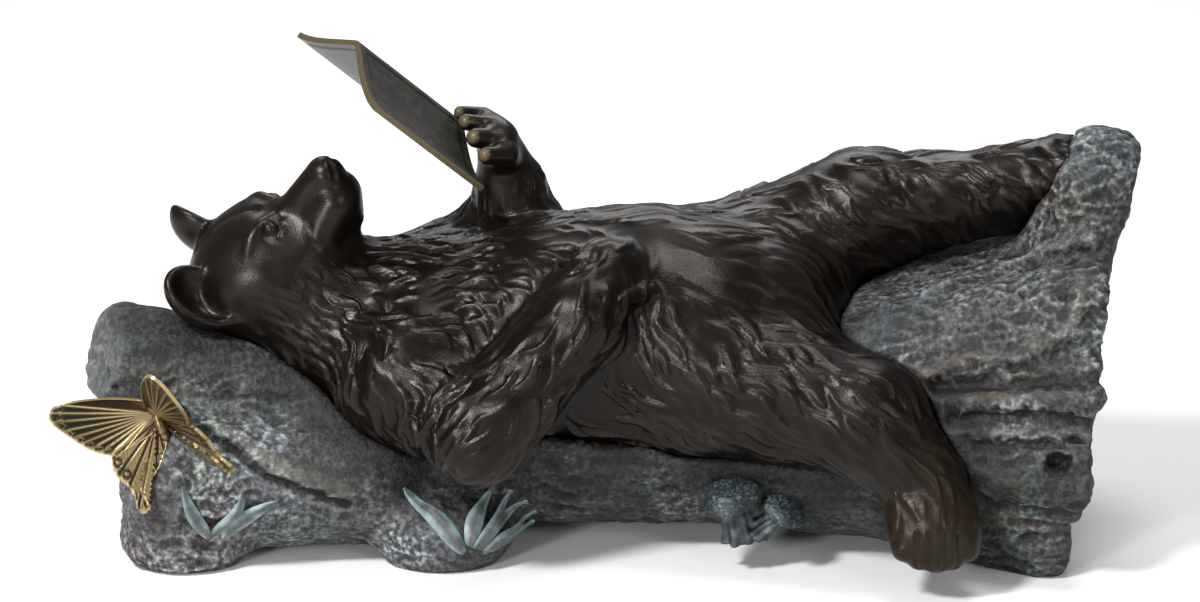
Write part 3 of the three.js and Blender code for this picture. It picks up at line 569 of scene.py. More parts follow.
timberSet = {
    "firstCell": 1.7, "cell": 1.12, "bedGap": 0.7, "rootEndX": 238, "rootEndLean": 0.1,  # mm
    "proud": 2.3, "triangles": 197000, "hole": ((218, -98, 63), (8, 22, 7)),
    "feet": [((-204, -46, 12), (32, 24, 20)), ((-78, -44, 14), (35, 26, 22)),
             ((-190, 44, 14), (34, 26, 24)), ((-60, 44, 14), (32, 26, 24))],
    "fan": [  # the roots that spread at the right: from, to, radii
        ((110, -12, 72), (244, -46, 128), 46, 24), ((110, -16, 60), (244, -71, 96), 46, 17),
        ((110, -16, 54), (236, -72, 54), 44, 22), ((110, -10, 50), (216, -56, 14), 38, 20),
        ((110, 14, 70), (244, 56, 132), 46, 27), ((110, 16, 60), (240, 78, 84), 46, 24),
        ((110, 12, 50), (226, 62, 18), 40, 22)],
    "branch": ((-234, -28, 101), (-140, -6, 66), 25, 40),
    "branchEnd": ((-244, -32, 104), (-0.86, -0.42, 0.28)),  # a point of the sawn face and the way it looks
    "cracks": [  # path, width, depth
        ([(-209, -51, 83), (-191, -60, 72), (-179, -65, 65), (-168, -67, 57), (-159, -68, 51),
          (-145, -67, 45), (-124, -64, 35)], 4.0, 2.6),
        ([(160, -68, 97), (188, -72, 99), (203, -76, 101), (217, -78, 104), (229, -83, 104),
          (242, -80, 106)], 7.5, 4.2),
        ([(162, -74, 80), (188, -77, 84), (205, -80, 86), (223, -83, 84), (242, -81, 81)], 6.0, 3.6),
        ([(180, -78, 70), (212, -81, 72), (242, -81, 70)], 4.5, 2.4),
        ([(186, -78, 39), (213, -81, 38), (242, -82, 41)], 6.0, 3.2),
        ([(170, -30, 129), (201, -10, 133), (222, -16, 141), (240, -26, 150)], 5.0, 3.0),
        ([(-243, -38, 97), (-239, -46, 92), (-236, -52, 90)], 4.0, 2.6),
        ([(206, -74, 22), (209, -74, 22)], 3.0, 3.0)],
    "lips": [  # path, width, height
        ([(-205, -50, 88), (-187, -59, 78), (-170, -66, 65), (-150, -67, 54), (-124, -64, 43)], 8.0, 1.6),
        ([(150, -63, 100), (177, -64, 109), (200, -68, 112), (212, -67, 117), (224, -68, 125),
          (230, -62, 138), (240, -19, 156)], 7.0, 3.2),
        ([(160, -30, 132), (176, -23, 137), (201, -4, 141), (217, -10, 149), (240, -19, 158)], 6.0, 2.8),
        ([(165, -72, 90), (203, -76, 93), (244, -82, 95)], 8.0, 2.6),
        ([(190, -78, 77), (244, -80, 76)], 5.0, 1.6),
        ([(190, -80, 52), (244, -82, 52)], 10.0, 2.0), ([(190, -74, 28), (240, -76, 27)], 9.0, 1.8)],
}


def timberClay(p):
    trunk = limb(p, (-186, 8, 58), (140, 4, 62), 52, 58)
    branch = sawn(3, limb(p, *timberSet["branch"]), p, *timberSet["branchEnd"])
    root = sawn(6, limb(p, (-212, -36, 44), (-118, -26, 42), 39, 38), p, (-234, -36, 44), (-1, -0.25, 0.12))
    feet = [egg(p, centre, radii) for centre, radii in timberSet["feet"]]
    fan = [limb(p, *row) for row in timberSet["fan"]]
    topRoot = melt(12, limb(p, (130, 6, 70), (236, 12, 116), 44, 36),
                   limb(p, (238, 12, 118), (249, 14, 174), 34, 32))
    topRoot = sawn(6, topRoot, p, (266, 0, 190), (1, 0, -0.3))
    timber = melt(12, melt(8, melt(16, trunk, *feet), branch, root), melt(9, *fan))
    timber = sawn(5, timber, p, (timberSet["rootEndX"], 0, 100), (1, 0, -timberSet["rootEndLean"]))
    timber = carve(3, melt(16, timber, topRoot), egg(p, *timberSet["hole"]))
    return np.maximum(timber, -p[:, 2])


def logClay(p):
    return carve(1.5, timberClay(p), bearClay(p) - timberSet["bedGap"])


bark = {  # sizes and heights in mm; the stretch is along the log
    "foldStretch": (0.14, 1, 1), "foldSize": 15.0, "smallFoldSize": 7.0, "foldHeight": 1.5, "foldFlatter": 0.7,
    "lumpSize": 30, "lumpHeight": 1.3, "pitSize": 3.2, "pitHeight": 0.3,
    "wrinkleStretch": (0.55, 1, 1), "wrinkleSize": 7.0, "smallWrinkleSize": 3.4, "wrinkleLeast": 0.25,
    "roughSize": 34, "flare": (110, 175), "roughFrom": (90, 130), "lipWander": 1.1, "crackWander": 1.6,
}


def barkRelief(p):
    # height above the clay, and where the wrinkles, the ridges, the cracks and the sawn face are
    flare = fade(*bark["flare"], p[:, 0])
    run = p * bark["foldStretch"]
    folds = speckle(run, bark["foldSize"]) + 0.5 * speckle(run, bark["smallFoldSize"], 7.1)
    lumps = speckle(p, bark["lumpSize"], 3.3)
    wrinkles = 1 - 2.4 * np.abs(speckle(p * bark["wrinkleStretch"], bark["wrinkleSize"], 5.2))
    wrinkles = wrinkles - 1.2 * np.abs(speckle(p, bark["smallWrinkleSize"], 1.7))
    pits = speckle(p, bark["pitSize"], 9.7)
    rough = speckle(p, bark["roughSize"], 8.1) + 0.3 * fade(*bark["roughFrom"], p[:, 0])
    rough = fade(-0.25, 0.35, rough)
    height = (bark["foldHeight"] - bark["foldFlatter"] * flare) * folds + bark["lumpHeight"] * lumps
    height += (bark["wrinkleLeast"] + (1 - bark["wrinkleLeast"]) * rough) * wrinkles
    height += bark["pitHeight"] * pits
    wander = np.stack([folds, lumps, wrinkles], 1)
    lip, deep = np.zeros(len(p)), np.zeros(len(p))
    for path, width, tall in timberSet["lips"]:
        near = strokeDepth(p + bark["lipWander"] * wander, path, width)
        height += tall * near
        lip = np.maximum(lip, near ** 3)
    for path, width, depth in timberSet["cracks"]:
        near = strokeDepth(p + bark["crackWander"] * wander, path, width)
        height -= depth * near
        deep = np.maximum(deep, near)
    point, way = timberSet["branchEnd"]
    face = fade(3, 0.5, np.abs((p - point) @ unit(way))) * (lengthsOf(p - point) < 36)
    height -= face * fade(-2, -6, limb(p, *timberSet["branch"]))
    return height, wrinkles, rough, lip, deep, face


def buildLog():
    log = copyOfNode("log_base", "log_timber")
    applyModifier(log, "REMESH", mode="VOXEL", voxel_size=timberSet["firstCell"] * bench["mm"])
    p = readPoints(log)
    proud = timberClay(p) > timberSet["proud"]  # the grass and mushrooms, modelled on their own below
    for _ in range(3):
        p[proud] -= (timberClay(p[proud]) + 4)[:, None] * slopeOf(timberClay, p[proud])
    writePoints(log, p)
    applyModifier(log, "REMESH", mode="VOXEL", voxel_size=timberSet["cell"] * bench["mm"])
    pairs = edgesOf(log)
    print("log remeshed:", len(log.data.vertices), "points")
    p = settleOnto(log, logClay, pairs)
    normals = meshNormals(log)
    height, wrinkles, rough, lip, deep, face = barkRelief(p)
    bed = bearClay(p)
    height *= fade(0.5, 3, p[:, 2]) * fade(0.6, 6, bed)
    p = p + normals * height[:, None]
    p[:, 2] = np.maximum(p[:, 2], 0)
    writePoints(log, p)
    hollow = height - evenOut(height, pairs, 12)
    keep(log, "rise", np.clip(0.42 + 0.26 * hollow + (0.06 + 0.12 * rough) * wrinkles, 0, 1))
    plane = fade(135, 170, p[:, 0]) * fade(-3, 5, p[:, 2] - 102 - 0.1 * (p[:, 0] - 150))
    low = fade(75, 30, p[:, 2]) * (0.3 + 0.8 * fade(-120, -160, p[:, 0]))
    pale = 0.35 + 0.25 * plane + 0.4 * low + 0.9 * speckle(p, 30, 6.6)
    keep(log, "pale", np.clip(pale, 0, 1.2))
    keep(log, "lip", lip)
    spread = fade(112, 140, p[:, 0])
    shade = fade(46, 9, bed + 14 * speckle(p, 20))  # painted shade, darkest beside the bear
    shade = shade * (1 - 0.75 * spread * fade(94, 106, p[:, 2]))
    dim = 0.42 + 0.14 * fade(102, 88, p[:, 2]) + 0.25 * speckle(p, 26, 2.2)
    shade = np.maximum(shade, spread * dim)
    hole = fade(1.5, -0.5, egg(p, *timberSet["hole"]))
    # painted shade: beside the bear, inside the hole, along the cracks, and over the flare at the right, darker
    # towards its bottom
    keep(log, "painted_shade", np.maximum(np.maximum(shade, hole), 0.85 * fade(0.15, 0.8, deep)))
    keep(log, "face", face)
    thinOut(log, timberSet["triangles"])
    return smoothAndTell(log, "log")


grass = {
    "leaves": [  # foot, tip, width and how far the tip stands off, mm
        ((-190, -67, 19), (-201, -74, 49), 8.0, 4.0), ((-188, -68, 21), (-172, -71, 44), 8.0, 4.5),
        ((-184, -66, 18), (-156, -69, 41), 9.0, 4.5),
        ((-66, -68, 12), (-98, -58, 43), 9.5, 4.0), ((-64, -68, 15), (-52, -55, 41), 10.0, 6.0),
        ((-62, -67, 14), (-44, -50, 38), 7.0, 7.0), ((-60, -66, 13), (-37, -47, 32), 7.0, 8.0),
        ((-58, -65, 12), (-33, -46, 26), 7.0, 9.0), ((-58, -64, 11), (-33, -46, 20), 6.5, 9.0)],
    "rows": 20, "thickness": 1.8,
}


def leafBlank():
    rows = grass["rows"]
    bpy.ops.mesh.primitive_grid_add(x_subdivisions=8, y_subdivisions=rows, size=2)
    leaf = bpy.context.object
    for row in range(rows + 1):  # narrow at the foot, fullest below the middle, pointed at the tip
        t = row / rows
        bpy.ops.object.mode_set(mode="EDIT")
        bpy.ops.mesh.select_mode(type="VERT")
        bpy.ops.mesh.select_all(action="DESELECT")
        bpy.ops.object.mode_set(mode="OBJECT")
        for vertex in leaf.data.vertices:
            vertex.select = abs(vertex.co.y - (2 * t - 1)) < 0.01
        bpy.ops.object.mode_set(mode="EDIT")
        full = 0.42 + 0.58 * math.sin(math.pi * (t / 0.9) ** 0.8) if t < 0.9 else 4.2 * (1 - t) + 0.02
        bpy.ops.transform.resize(value=(full, 1, 1), center_override=(0, 2 * t - 1, 0))
    bpy.ops.object.mode_set(mode="OBJECT")
    return leaf


def buildGrass():
    blank = leafBlank()
    flat = np.array([vertex.co for vertex in blank.data.vertices])
    row = np.round((flat[:, 1] + 1) / 2 * grass["rows"]).astype(int)
    wide = np.array([np.abs(flat[row == r, 0]).max() for r in range(grass["rows"] + 1)])[row]
    share = (flat[:, 0] / np.maximum(wide, 1e-6))[:, None]  # -1 to 1 across the leaf
    pieces = []
    for i, (foot, tip, width, lift) in enumerate(grass["leaves"]):
        onlySelect(blank)
        bpy.ops.object.duplicate()
        leaf = bpy.context.object
        foot, tip = vec(foot), vec(tip)
        along = (flat[:, 1:2] + 1) / 2
        spine = foot + along * (tip - foot)
        out = evenOut(slopeOf(timberClay, spine), edgesOf(leaf), 6)
        side = unit(np.cross(unit(tip - foot)[None], out))
        bow = 2.5 * np.sin(math.pi * along) * (1 if i % 2 else -1) * (0.5 if i in (0, 3) else 1)
        p = ontoClay(timberClay, spine + side * (flat[:, :1] * width / 2 + bow), 2)
        fold = 2.2 * (1 - np.abs(share) ** 1.4) - 0.8 * np.exp(-(share / 0.16) ** 2)
        p = p + out * (fold * (1 - 0.4 * along) + 0.4 + lift * along ** 1.6)
        writePoints(leaf, p)
        rib = np.exp(-(share[:, 0] / 0.24) ** 2)
        rib = rib * np.interp(along[:, 0], (0, 0.15, 0.5, 0.7), (0.6, 1, 0.7, 0))
        keep(leaf, "rib", rib)
        keep(leaf, "rise", np.clip(0.3 + 0.5 * np.abs(share[:, 0]) + 0.3 * speckle(p, 5), 0, 1))
        applyModifier(leaf, "SOLIDIFY", thickness=grass["thickness"] * bench["mm"], offset=-1.0)
        applyModifier(leaf, "SUBSURF", levels=1)
        pieces.append(leaf)
    bpy.data.objects.remove(blank)
    tufts = joinAll(pieces, "grass_tufts")
    turnFacesOut(tufts)
    p = readPoints(tufts)
    p[:, 2] = np.maximum(p[:, 2], 0.4)
    writePoints(tufts, p)
    return smoothAndTell(tufts, "grass")


mushrooms = {
    "pair": [  # foot, middle of the cap, the way the cap looks, size
        ((69, -58, 17), (64, -59, 38), (-0.22, -0.2, 0.95), 1.18),
        ((75, -58, 19), (90, -60, 31), (0.4, -0.22, 0.89), 0.92)],
    "capRadius": (0, 4, 8, 11, 12.6, 12.2, 10.4, 6, 3.6),
    "capHeight": (5.2, 5.0, 4.2, 2.2, -0.6, -2.4, -3.0, -2.2, -2.4),
    "stemRadius": (8.0, 6.4, 5.6, 6.2), "turns": 97, "capRings": 72, "stemRings": 24,
    "stippleSize": 1.3, "stippleHeight": 0.24, "weld": 2e-5,
}


def buildMushrooms():
    turns = np.linspace(0, 2 * math.pi, mushrooms["turns"])[:, None]
    pieces = []
    for foot, middle, way, size in mushrooms["pair"]:
        way, foot, middle = unit(way), vec(foot), vec(middle)
        across = unit(np.cross(way, (0, 1, 0)))
        around = np.cos(turns) * across + np.sin(turns) * np.cross(way, across)
        stations = range(len(mushrooms["capRadius"]))
        steps = np.linspace(0, stations[-1], mushrooms["capRings"])
        radii, heights = (np.interp(steps, stations, mushrooms[k]) for k in ("capRadius", "capHeight"))
        wavy = 1 + 0.05 * np.sin(3 * turns + size * 9) + 0.03 * np.sin(5 * turns)
        rings = [middle + size * (r * wavy * around + h * way) for r, h in zip(radii, heights)]
        cap = sheetOf("cap", np.array(rings))
        p = readPoints(cap)
        stipple = speckle(p, mushrooms["stippleSize"])
        keep(cap, "rise", np.clip(0.32 + 0.7 * stipple + 0.3 * speckle(p, 9), 0, 1))
        top = middle - size * 1.5 * way
        ridged = 1 + 0.12 * np.sin(7 * turns)
        rings = []
        for t in np.linspace(0, 1, mushrooms["stemRings"]):
            r = np.interp(t, (0, 0.25, 0.7, 1), mushrooms["stemRadius"]) * size
            rings.append(foot + t * (top - foot) + r * ridged * around)
        stem = sheetOf("stem", np.array(rings))
        keep(stem, "rise", np.clip(0.4 + 0.5 * speckle(readPoints(stem), 4), 0, 1))
        pieces += [cap, stem]
    pair = joinAll(pieces, "mushroom_pair")
    editAll(pair, lambda: bpy.ops.mesh.remove_doubles(threshold=mushrooms["weld"]),
            lambda: bpy.ops.mesh.fill_holes(sides=0))
    turnFacesOut(pair)
    p = readPoints(pair)
    stipple = speckle(p, mushrooms["stippleSize"])[:, None]
    writePoints(pair, p + meshNormals(pair) * mushrooms["stippleHeight"] * stipple)
    return smoothAndTell(pair, "mushrooms")


book = {
    "spineHead": (-118, 0, 252), "spineLength": 76, "pageWidth": 52, "thickness": 3,  # mm
    "spineWay": (0.64, 0.456, -0.619), "nearWay": (0.48, -0.866, -0.141),
    "readerWay": (-0.6, -0.207, -0.773), "farDip": 13, "nearDip": 20, "softBend": 0.035,
    "border": 5.2, "groove": 0.5, "grooveWidth": 0.55, "panel": 0.35, "bevel": 0.5, "rows": 120, "columns": 181,
}


def buildBook():
    along = np.linspace(0, 1, book["rows"])[:, None] * np.ones(book["columns"])
    across = np.ones((book["rows"], 1)) * np.linspace(-1, 1, book["columns"])
    t = np.hypot(np.abs(across), book["softBend"]) - book["softBend"]
    dip = np.where(across < 0, book["farDip"], book["nearDip"])
    dip = dip * (1.9 * t - 0.9 * t * t) - 2.4 * np.sin(math.pi * t) * (1 - t)
    s, x = along * book["spineLength"], across * book["pageWidth"]
    ends = np.minimum(s, book["spineLength"] - s)
    edge = np.minimum(ends, np.minimum(np.abs(x) + 0.5, book["pageWidth"] - np.abs(x)))
    line = np.exp(-((edge - book["border"]) / book["grooveWidth"]) ** 2)
    inside = fade(book["border"] - 0.2, book["border"] + 0.8, edge)
    dip = dip + book["groove"] * line + book["panel"] * inside
    near, reader, spine = (unit(book[k]) for k in ("nearWay", "readerWay", "spineWay"))
    points = np.array(book["spineHead"]) + x[..., None] * near + dip[..., None] * reader
    points = points + s[..., None] * spine
    cover = sheetOf("open_book", points)
    p = points.reshape(-1, 3)
    grit = speckle(p, 3.0) + 0.7 * speckle(p, 7.0, 2.0)
    edge, line = edge.ravel(), line.ravel()
    wear = fade(1.3, 0.1, edge + 0.6 * grit) + 0.2 * fade(5.0, 3.0, edge) * (0.6 + 0.6 * grit)
    keep(cover, "wear", np.clip(wear, 0, 1) * (1 - line))
    keep(cover, "rise", np.clip(0.5 + 0.3 * grit - 0.8 * line, 0, 1))
    turn = np.sign((meshNormals(cover) @ reader).mean())
    applyModifier(cover, "SOLIDIFY", thickness=book["thickness"] * bench["mm"], offset=turn)
    turnFacesOut(cover)
    applyModifier(cover, "BEVEL", width=book["bevel"] * bench["mm"], segments=2,
                  limit_method="ANGLE", angle_limit=math.radians(50))
    return smoothAndTell(cover, "book", 40)


butterfly = {
    "thorax": (-214, -63, 81.6), "thickness": 1.6, "bodyWay": (-0.375, 0.24, 0.896),
    "foreWing": [(-1.5, -3), (-1.5, 5), [(14, 14), (34, 21), (45, 20)], [(51, 17), (46, 10), (42, 4)],
                 [(38, -3), (34, -8), (26, -12)], (6, -9)],
    "hindWing": [(-1.5, 3), (8, -3), (27, -11), [(31, -17), (29, -23), (25.5, -28)], (24.2, -34),
                 [(26, -38), (25.5, -43), (23, -43)], [(20, -43), (20, -38), (21.6, -34)], (20.5, -29.5),
                 [(11, -30), (5, -22), (-1.5, -12)]],
    "foreVeins": (27, 22, 17, 11, 5, -1, -8, -15, -22, -30),  # degrees
    "hindVeins": (-18, -32, -45, -56, -68, -82),
    "foreRoot": (1.0, 0.0), "hindRoot": (1.0, -4.0), "relief": 0.7, "arch": 0.5,
    "wings": [  # the way each one spreads, and the way its front looks
        ("fore", (-0.895, -0.344, -0.283), (-0.375, 0.24, 0.896)),
        ("hind", (-0.895, -0.344, -0.283), (-0.375, 0.24, 0.896)),
        ("fore", (0.415, -0.826, 0.381), (-0.74, -0.06, 0.67)),
        ("hind", (0.49, -0.797, 0.352), (-0.66, -0.05, 0.75))],
    "body": [(9.5, 2.3, 2.6, 0), (3.5, 3.1, 5.0, 0), (-6.5, 2.6, 8.5, 0.05)],  # place, radius, length, ribs
    "rays": 150, "rings": 44,
}


def wingOutline(rows):
    points = []
    for row in rows:
        if isinstance(row, tuple):
            points.append(row)
            continue
        a, (b, c, d) = vec(points[-1]), vec(row)
        for t in np.linspace(0.05, 1, 20):
            s = 1 - t
            points.append(tuple(s ** 3 * a + 3 * t * s ** 2 * b + 3 * t * t * s * c + t ** 3 * d))
    points = np.array(points + [points[0]], float)
    run = np.concatenate([[0], np.cumsum(lengthsOf(np.diff(points, axis=0)))])
    spots = np.linspace(0, run[-1], butterfly["rays"])
    return np.stack([np.interp(spots, run, points[:, 0]), np.interp(spots, run, points[:, 1])], 1)


def wingRelief(kind, outline, root, flat, share):
    rel = flat - root
    angle, reach = np.arctan2(rel[:, 1], rel[:, 0]), lengthsOf(rel)
    veins = np.radians(butterfly[kind + "Veins"])
    vein, rings = np.zeros(len(flat)), np.zeros(len(flat))
    for a in veins:
        vein = np.maximum(vein, np.exp(-(reach * np.sin(np.clip(angle - a, -1.5, 1.5)) / 0.62) ** 2))
    out = outline - root
    for a, b in zip(veins[:-1], veins[1:]):
        mid = (a + b) / 2
        ahead = np.abs(np.arctan2(out[:, 1], out[:, 0]) - mid) < 0.1
        far = lengthsOf(out[ahead]).max() - 5.0 if ahead.any() else 0
        if far > 10:
            gap = lengthsOf(rel - far * np.array((math.cos(mid), math.sin(mid))))
            rings = np.maximum(rings, np.exp(-((gap - min(1.7, 0.3 * far * abs(a - b))) / 0.45) ** 2))
    border = (1 - share) * np.tile(lengthsOf(out), butterfly["rings"])
    rim = fade(1.6, 0.7, border)
    dots = 0.5 + 0.5 * np.sin(reach * 2.4) * np.sin(angle * 60)
    if kind == "fore":
        lines = np.maximum(np.maximum(vein, rim), 0.9 * rings)
        return np.clip(lines + 0.25 * dots * (1 - share), 0, 1), reach
    return np.clip(0.8 - 0.8 * np.maximum(vein, rings) + 0.6 * rim + 0.1 * dots, 0, 1), reach


def buildWing(kind, way, ahead):
    outline = wingOutline(butterfly[kind + "Wing"])
    root = np.array(butterfly[kind + "Root"])
    t = np.linspace(0.02, 1, butterfly["rings"])[:, None, None]
    flat = (root + t * (outline - root)[None]).reshape(-1, 2)
    share = np.repeat(t.ravel(), len(outline))
    raised, reach = wingRelief(kind, outline, root, flat, share)
    way, ahead = unit(way), unit(ahead)
    up = unit(np.cross(ahead, way))
    up = up if up[1] < 0 else -up  # the side with the relief looks to the front
    arch = np.sin(np.clip(reach / 46, 0, 1) * math.pi)
    height = butterfly["thickness"] / 2 + butterfly["relief"] * raised + butterfly["arch"] * arch
    p = np.array(butterfly["thorax"]) + flat[:, :1] * way + flat[:, 1:] * ahead + height[:, None] * up
    wing = sheetOf("wing", p.reshape(butterfly["rings"], butterfly["rays"], 3))
    keep(wing, "rise", raised)
    keep(wing, "copper", fade(20, 5, reach))
    turn = np.sign((meshNormals(wing) @ up).mean())
    applyModifier(wing, "SOLIDIFY", thickness=butterfly["thickness"] * bench["mm"], offset=-turn)
    return wing


def buildButterfly():
    pieces = [buildWing(*row) for row in butterfly["wings"]]
    ahead = unit(butterfly["bodyWay"])
    across = unit(np.cross(ahead, (0, -1, 0)))
    front = np.cross(across, ahead)
    front = front if front[1] < 0 else -front
    for place, radius, length, ribs in butterfly["body"]:
        bpy.ops.mesh.primitive_uv_sphere_add(segments=28, ring_count=18, radius=1)
        part = bpy.context.object
        ball = np.array([vertex.co for vertex in part.data.vertices])
        girth = radius * (1 + ribs * np.sin(ball[:, 2:] * 16))
        p = np.array(butterfly["thorax"]) + (place + length * ball[:, 2:]) * ahead + 1.6 * front
        writePoints(part, p + girth * (ball[:, :1] * across + ball[:, 1:2] * front))
        keep(part, "rise", 0.75 + 4 * ribs * np.sin(ball[:, 2] * 16))
        keep(part, "copper", np.full(len(p), 0.9 if ribs else 0.5))
        pieces.append(part)
    whole = joinAll(pieces, "swallowtail")
    turnFacesOut(whole)
    return smoothAndTell(whole, "butterfly", 50)


def setSockets(node, values):
    for key, value in values.items():
        node.inputs[key].default_value = value


def newFinish(name, sockets):
    finish = bpy.data.materials.new(name)
    finish.use_nodes = True
    shader = finish.node_tree.nodes["Principled BSDF"]
    setSockets(shader, sockets)
    return finish, shader.inputs


def addNode(finish, kind, **settings):
    node = finish.node_tree.nodes.new("ShaderNode" + kind)
    for key, value in settings.items():
        setattr(node, key, value)
    return node


def wire(finish, value, socket):
    if isinstance(value, (int, float)):
        socket.default_value = value
    else:
        finish.node_tree.links.new(value, socket)


def rampOf(finish, value, stops):
    ramp = addNode(finish, "ValToRGB")
    while len(ramp.color_ramp.elements) < len(stops):
        ramp.color_ramp.elements.new(0.5)
    for element, (place, colour) in zip(ramp.color_ramp.elements, stops):
        element.position = place
        element.color = (*colour, 1) if isinstance(colour, tuple) else (colour, colour, colour, 1)
    wire(finish, value, ramp.inputs["Fac"])
    return ramp.outputs["Color"]


def attributeOf(finish, name):
    return addNode(finish, "Attribute", attribute_name=name).outputs["Fac"]


def noiseOf(finish, scale, detail=3.0):
    place = addNode(finish, "TexCoord")
    cloud = addNode(finish, "TexNoise")
    setSockets(cloud, {"Scale": scale, "Detail": detail})
    wire(finish, place.outputs["Object"], cloud.inputs["Vector"])
    return cloud.outputs["Fac"]


def patchesOf(finish, scale, low, high):
    return rampOf(finish, noiseOf(finish, scale), [(low, 0), (high, 1)])


def mathOf(finish, what, a, b):
    node = addNode(finish, "Math", operation=what)
    wire(finish, a, node.inputs[0])
    wire(finish, b, node.inputs[1])
    return node.outputs[0]


def blendOf(finish, a, shareA, b, shareB):
    return mathOf(finish, "ADD", mathOf(finish, "MULTIPLY", a, shareA), mathOf(finish, "MULTIPLY", b, shareB))


def mixOf(finish, mask, share, a, b, blend="MIX"):
    node = addNode(finish, "Mix", data_type="RGBA", blend_type=blend)
    wire(finish, mathOf(finish, "MULTIPLY", mask, share), node.inputs[0])
    wire(finish, a, node.inputs[6])
    node.inputs[7].default_value = (*b, 1)
    return node.outputs[2]


def bumpOf(finish, shader, height, strength, distance):
    bump = addNode(finish, "Bump")
    setSockets(bump, {"Strength": strength, "Distance": distance})
    wire(finish, height, bump.inputs["Height"])
    wire(finish, bump.outputs["Normal"], shader["Normal"])


bronze = {  # tones from the hollows to the tops of the locks
    "tones": [(0.1, (0.0008, 0.0006, 0.0005)), (0.5, (0.0042, 0.0028, 0.0022)),
              (1.0, (0.013, 0.0088, 0.0066))],
    "cloud": (0.0085, 0.005, 0.0035), "warmFoot": (0.017, 0.0108, 0.0045), "wornTip": (0.10, 0.077, 0.042),
    "roughness": [(0.3, 0.27), (0.7, 0.38)], "grain": 850.0,
    "sockets": {"Specular IOR Level": 0.2, "Specular Tint": (1.0, 0.92, 0.85, 1)},
}


def bearFinish():
    finish, shader = newFinish("dark brown bronze", bronze["sockets"])
    tone = rampOf(finish, attributeOf(finish, "rise"), bronze["tones"])
    tone = mixOf(finish, patchesOf(finish, 38.0, 0.4, 0.75), 0.45, tone, bronze["cloud"])
    tone = mixOf(finish, attributeOf(finish, "warm"), 0.55, tone, bronze["warmFoot"])
    tone = mixOf(finish, attributeOf(finish, "wear"), 0.8, tone, bronze["wornTip"])
    wire(finish, tone, shader["Base Color"])
    wire(finish, rampOf(finish, noiseOf(finish, 60.0), bronze["roughness"]), shader["Roughness"])
    bumpOf(finish, shader, noiseOf(finish, bronze["grain"]), 0.24, 0.0004)
    return finish


patina = {  # tones from the pits to the brushed tops
    "tones": [(0.26, (0.006, 0.006, 0.0065)), (0.43, (0.026, 0.026, 0.028)),
              (0.60, (0.105, 0.112, 0.118)), (0.82, (0.36, 0.39, 0.395))],
    "stains": [  # scale, from, to, share, tint: rust, moss and verdigris
        (21.0, 0.5, 0.68, 0.65, (0.82, 0.58, 0.58)), (33.0, 0.5, 0.66, 0.6, (0.90, 0.94, 0.68)),
        (14.0, 0.5, 0.62, 0.4, (0.74, 1.0, 0.98))],
    # the last colour here is the painted shade, multiplied in beside the bear, in the hole and cracks and over
    # the flare
    "lip": (0.16, 0.125, 0.072), "face": (0.14, 0.155, 0.155), "painted_shade": (0.17, 0.16, 0.155),
    "grain": 520.0, "flecks": 360.0, "sockets": {"Roughness": 0.62, "Specular IOR Level": 0.3},
}


def logFinish():
    finish, shader = newFinish("stony log patina", patina["sockets"])
    grain = noiseOf(finish, patina["grain"], 6.0)
    flecks = rampOf(finish, noiseOf(finish, patina["flecks"], 5.0), [(0.42, 0), (0.64, 1)])
    level = blendOf(finish, attributeOf(finish, "rise"), 0.62, grain, 0.34)
    brushed = mathOf(finish, "MULTIPLY", flecks, attributeOf(finish, "pale"))
    level = mathOf(finish, "ADD", level, mathOf(finish, "MULTIPLY", brushed, 0.26))
    tone = rampOf(finish, level, patina["tones"])
    for scale, low, high, share, tint in patina["stains"]:
        tone = mixOf(finish, patchesOf(finish, scale, low, high), share, tone, tint, "MULTIPLY")
    tone = mixOf(finish, attributeOf(finish, "lip"), 0.26, tone, patina["lip"])
    tone = mixOf(finish, attributeOf(finish, "face"), 0.3, tone, patina["face"])
    # painted shade multiplied over the tone
    tone = mixOf(finish, attributeOf(finish, "painted_shade"), 0.92, tone, patina["painted_shade"], "MULTIPLY")
    wire(finish, tone, shader["Base Color"])
    bumpOf(finish, shader, grain, 0.9, 0.0011)
    return finish


verdigris = {
    "leaf": [(0.25, (0.010, 0.014, 0.015)), (0.5, (0.056, 0.082, 0.087)), (0.9, (0.25, 0.32, 0.33))],
    "cap": [(0.1, (0.005, 0.007, 0.0075)), (0.45, (0.016, 0.025, 0.027)), (0.9, (0.10, 0.14, 0.145))],
    "rib": (0.11, 0.068, 0.038), "sockets": {"Roughness": 0.55},
}


def leafFinish():
    finish, shader = newFinish("verdigris leaf", verdigris["sockets"])
    grain = noiseOf(finish, 500.0)
    level = blendOf(finish, attributeOf(finish, "rise"), 0.8, grain, 0.3)
    tone = rampOf(finish, level, verdigris["leaf"])
    wire(finish, mixOf(finish, attributeOf(finish, "rib"), 0.55, tone, verdigris["rib"]), shader["Base Color"])
    bumpOf(finish, shader, grain, 0.4, 0.0005)
    return finish


def capFinish():
    finish, shader = newFinish("dark verdigris cap", verdigris["sockets"])
    wire(finish, rampOf(finish, attributeOf(finish, "rise"), verdigris["cap"]), shader["Base Color"])
    bumpOf(finish, shader, noiseOf(finish, 900.0), 0.6, 0.0007)
    return finish


bookBronze = {
    "tones": [(0.1, (0.005, 0.0045, 0.0035)), (0.5, (0.018, 0.0165, 0.014)), (0.95, (0.05, 0.045, 0.037))],
    "wornEdge": (0.105, 0.083, 0.042), "metal": 0.5, "sockets": {"Roughness": 0.36},
}


def bookFinish():
    finish, shader = newFinish("worn book bronze", bookBronze["sockets"])
    wear = attributeOf(finish, "wear")
    tone = rampOf(finish, attributeOf(finish, "rise"), bookBronze["tones"])
    wire(finish, mixOf(finish, wear, 1.0, tone, bookBronze["wornEdge"]), shader["Base Color"])
    wire(finish, mathOf(finish, "MULTIPLY", wear, bookBronze["metal"]), shader["Metallic"])
    bumpOf(finish, shader, noiseOf(finish, 420.0), 0.25, 0.0004)
    return finish


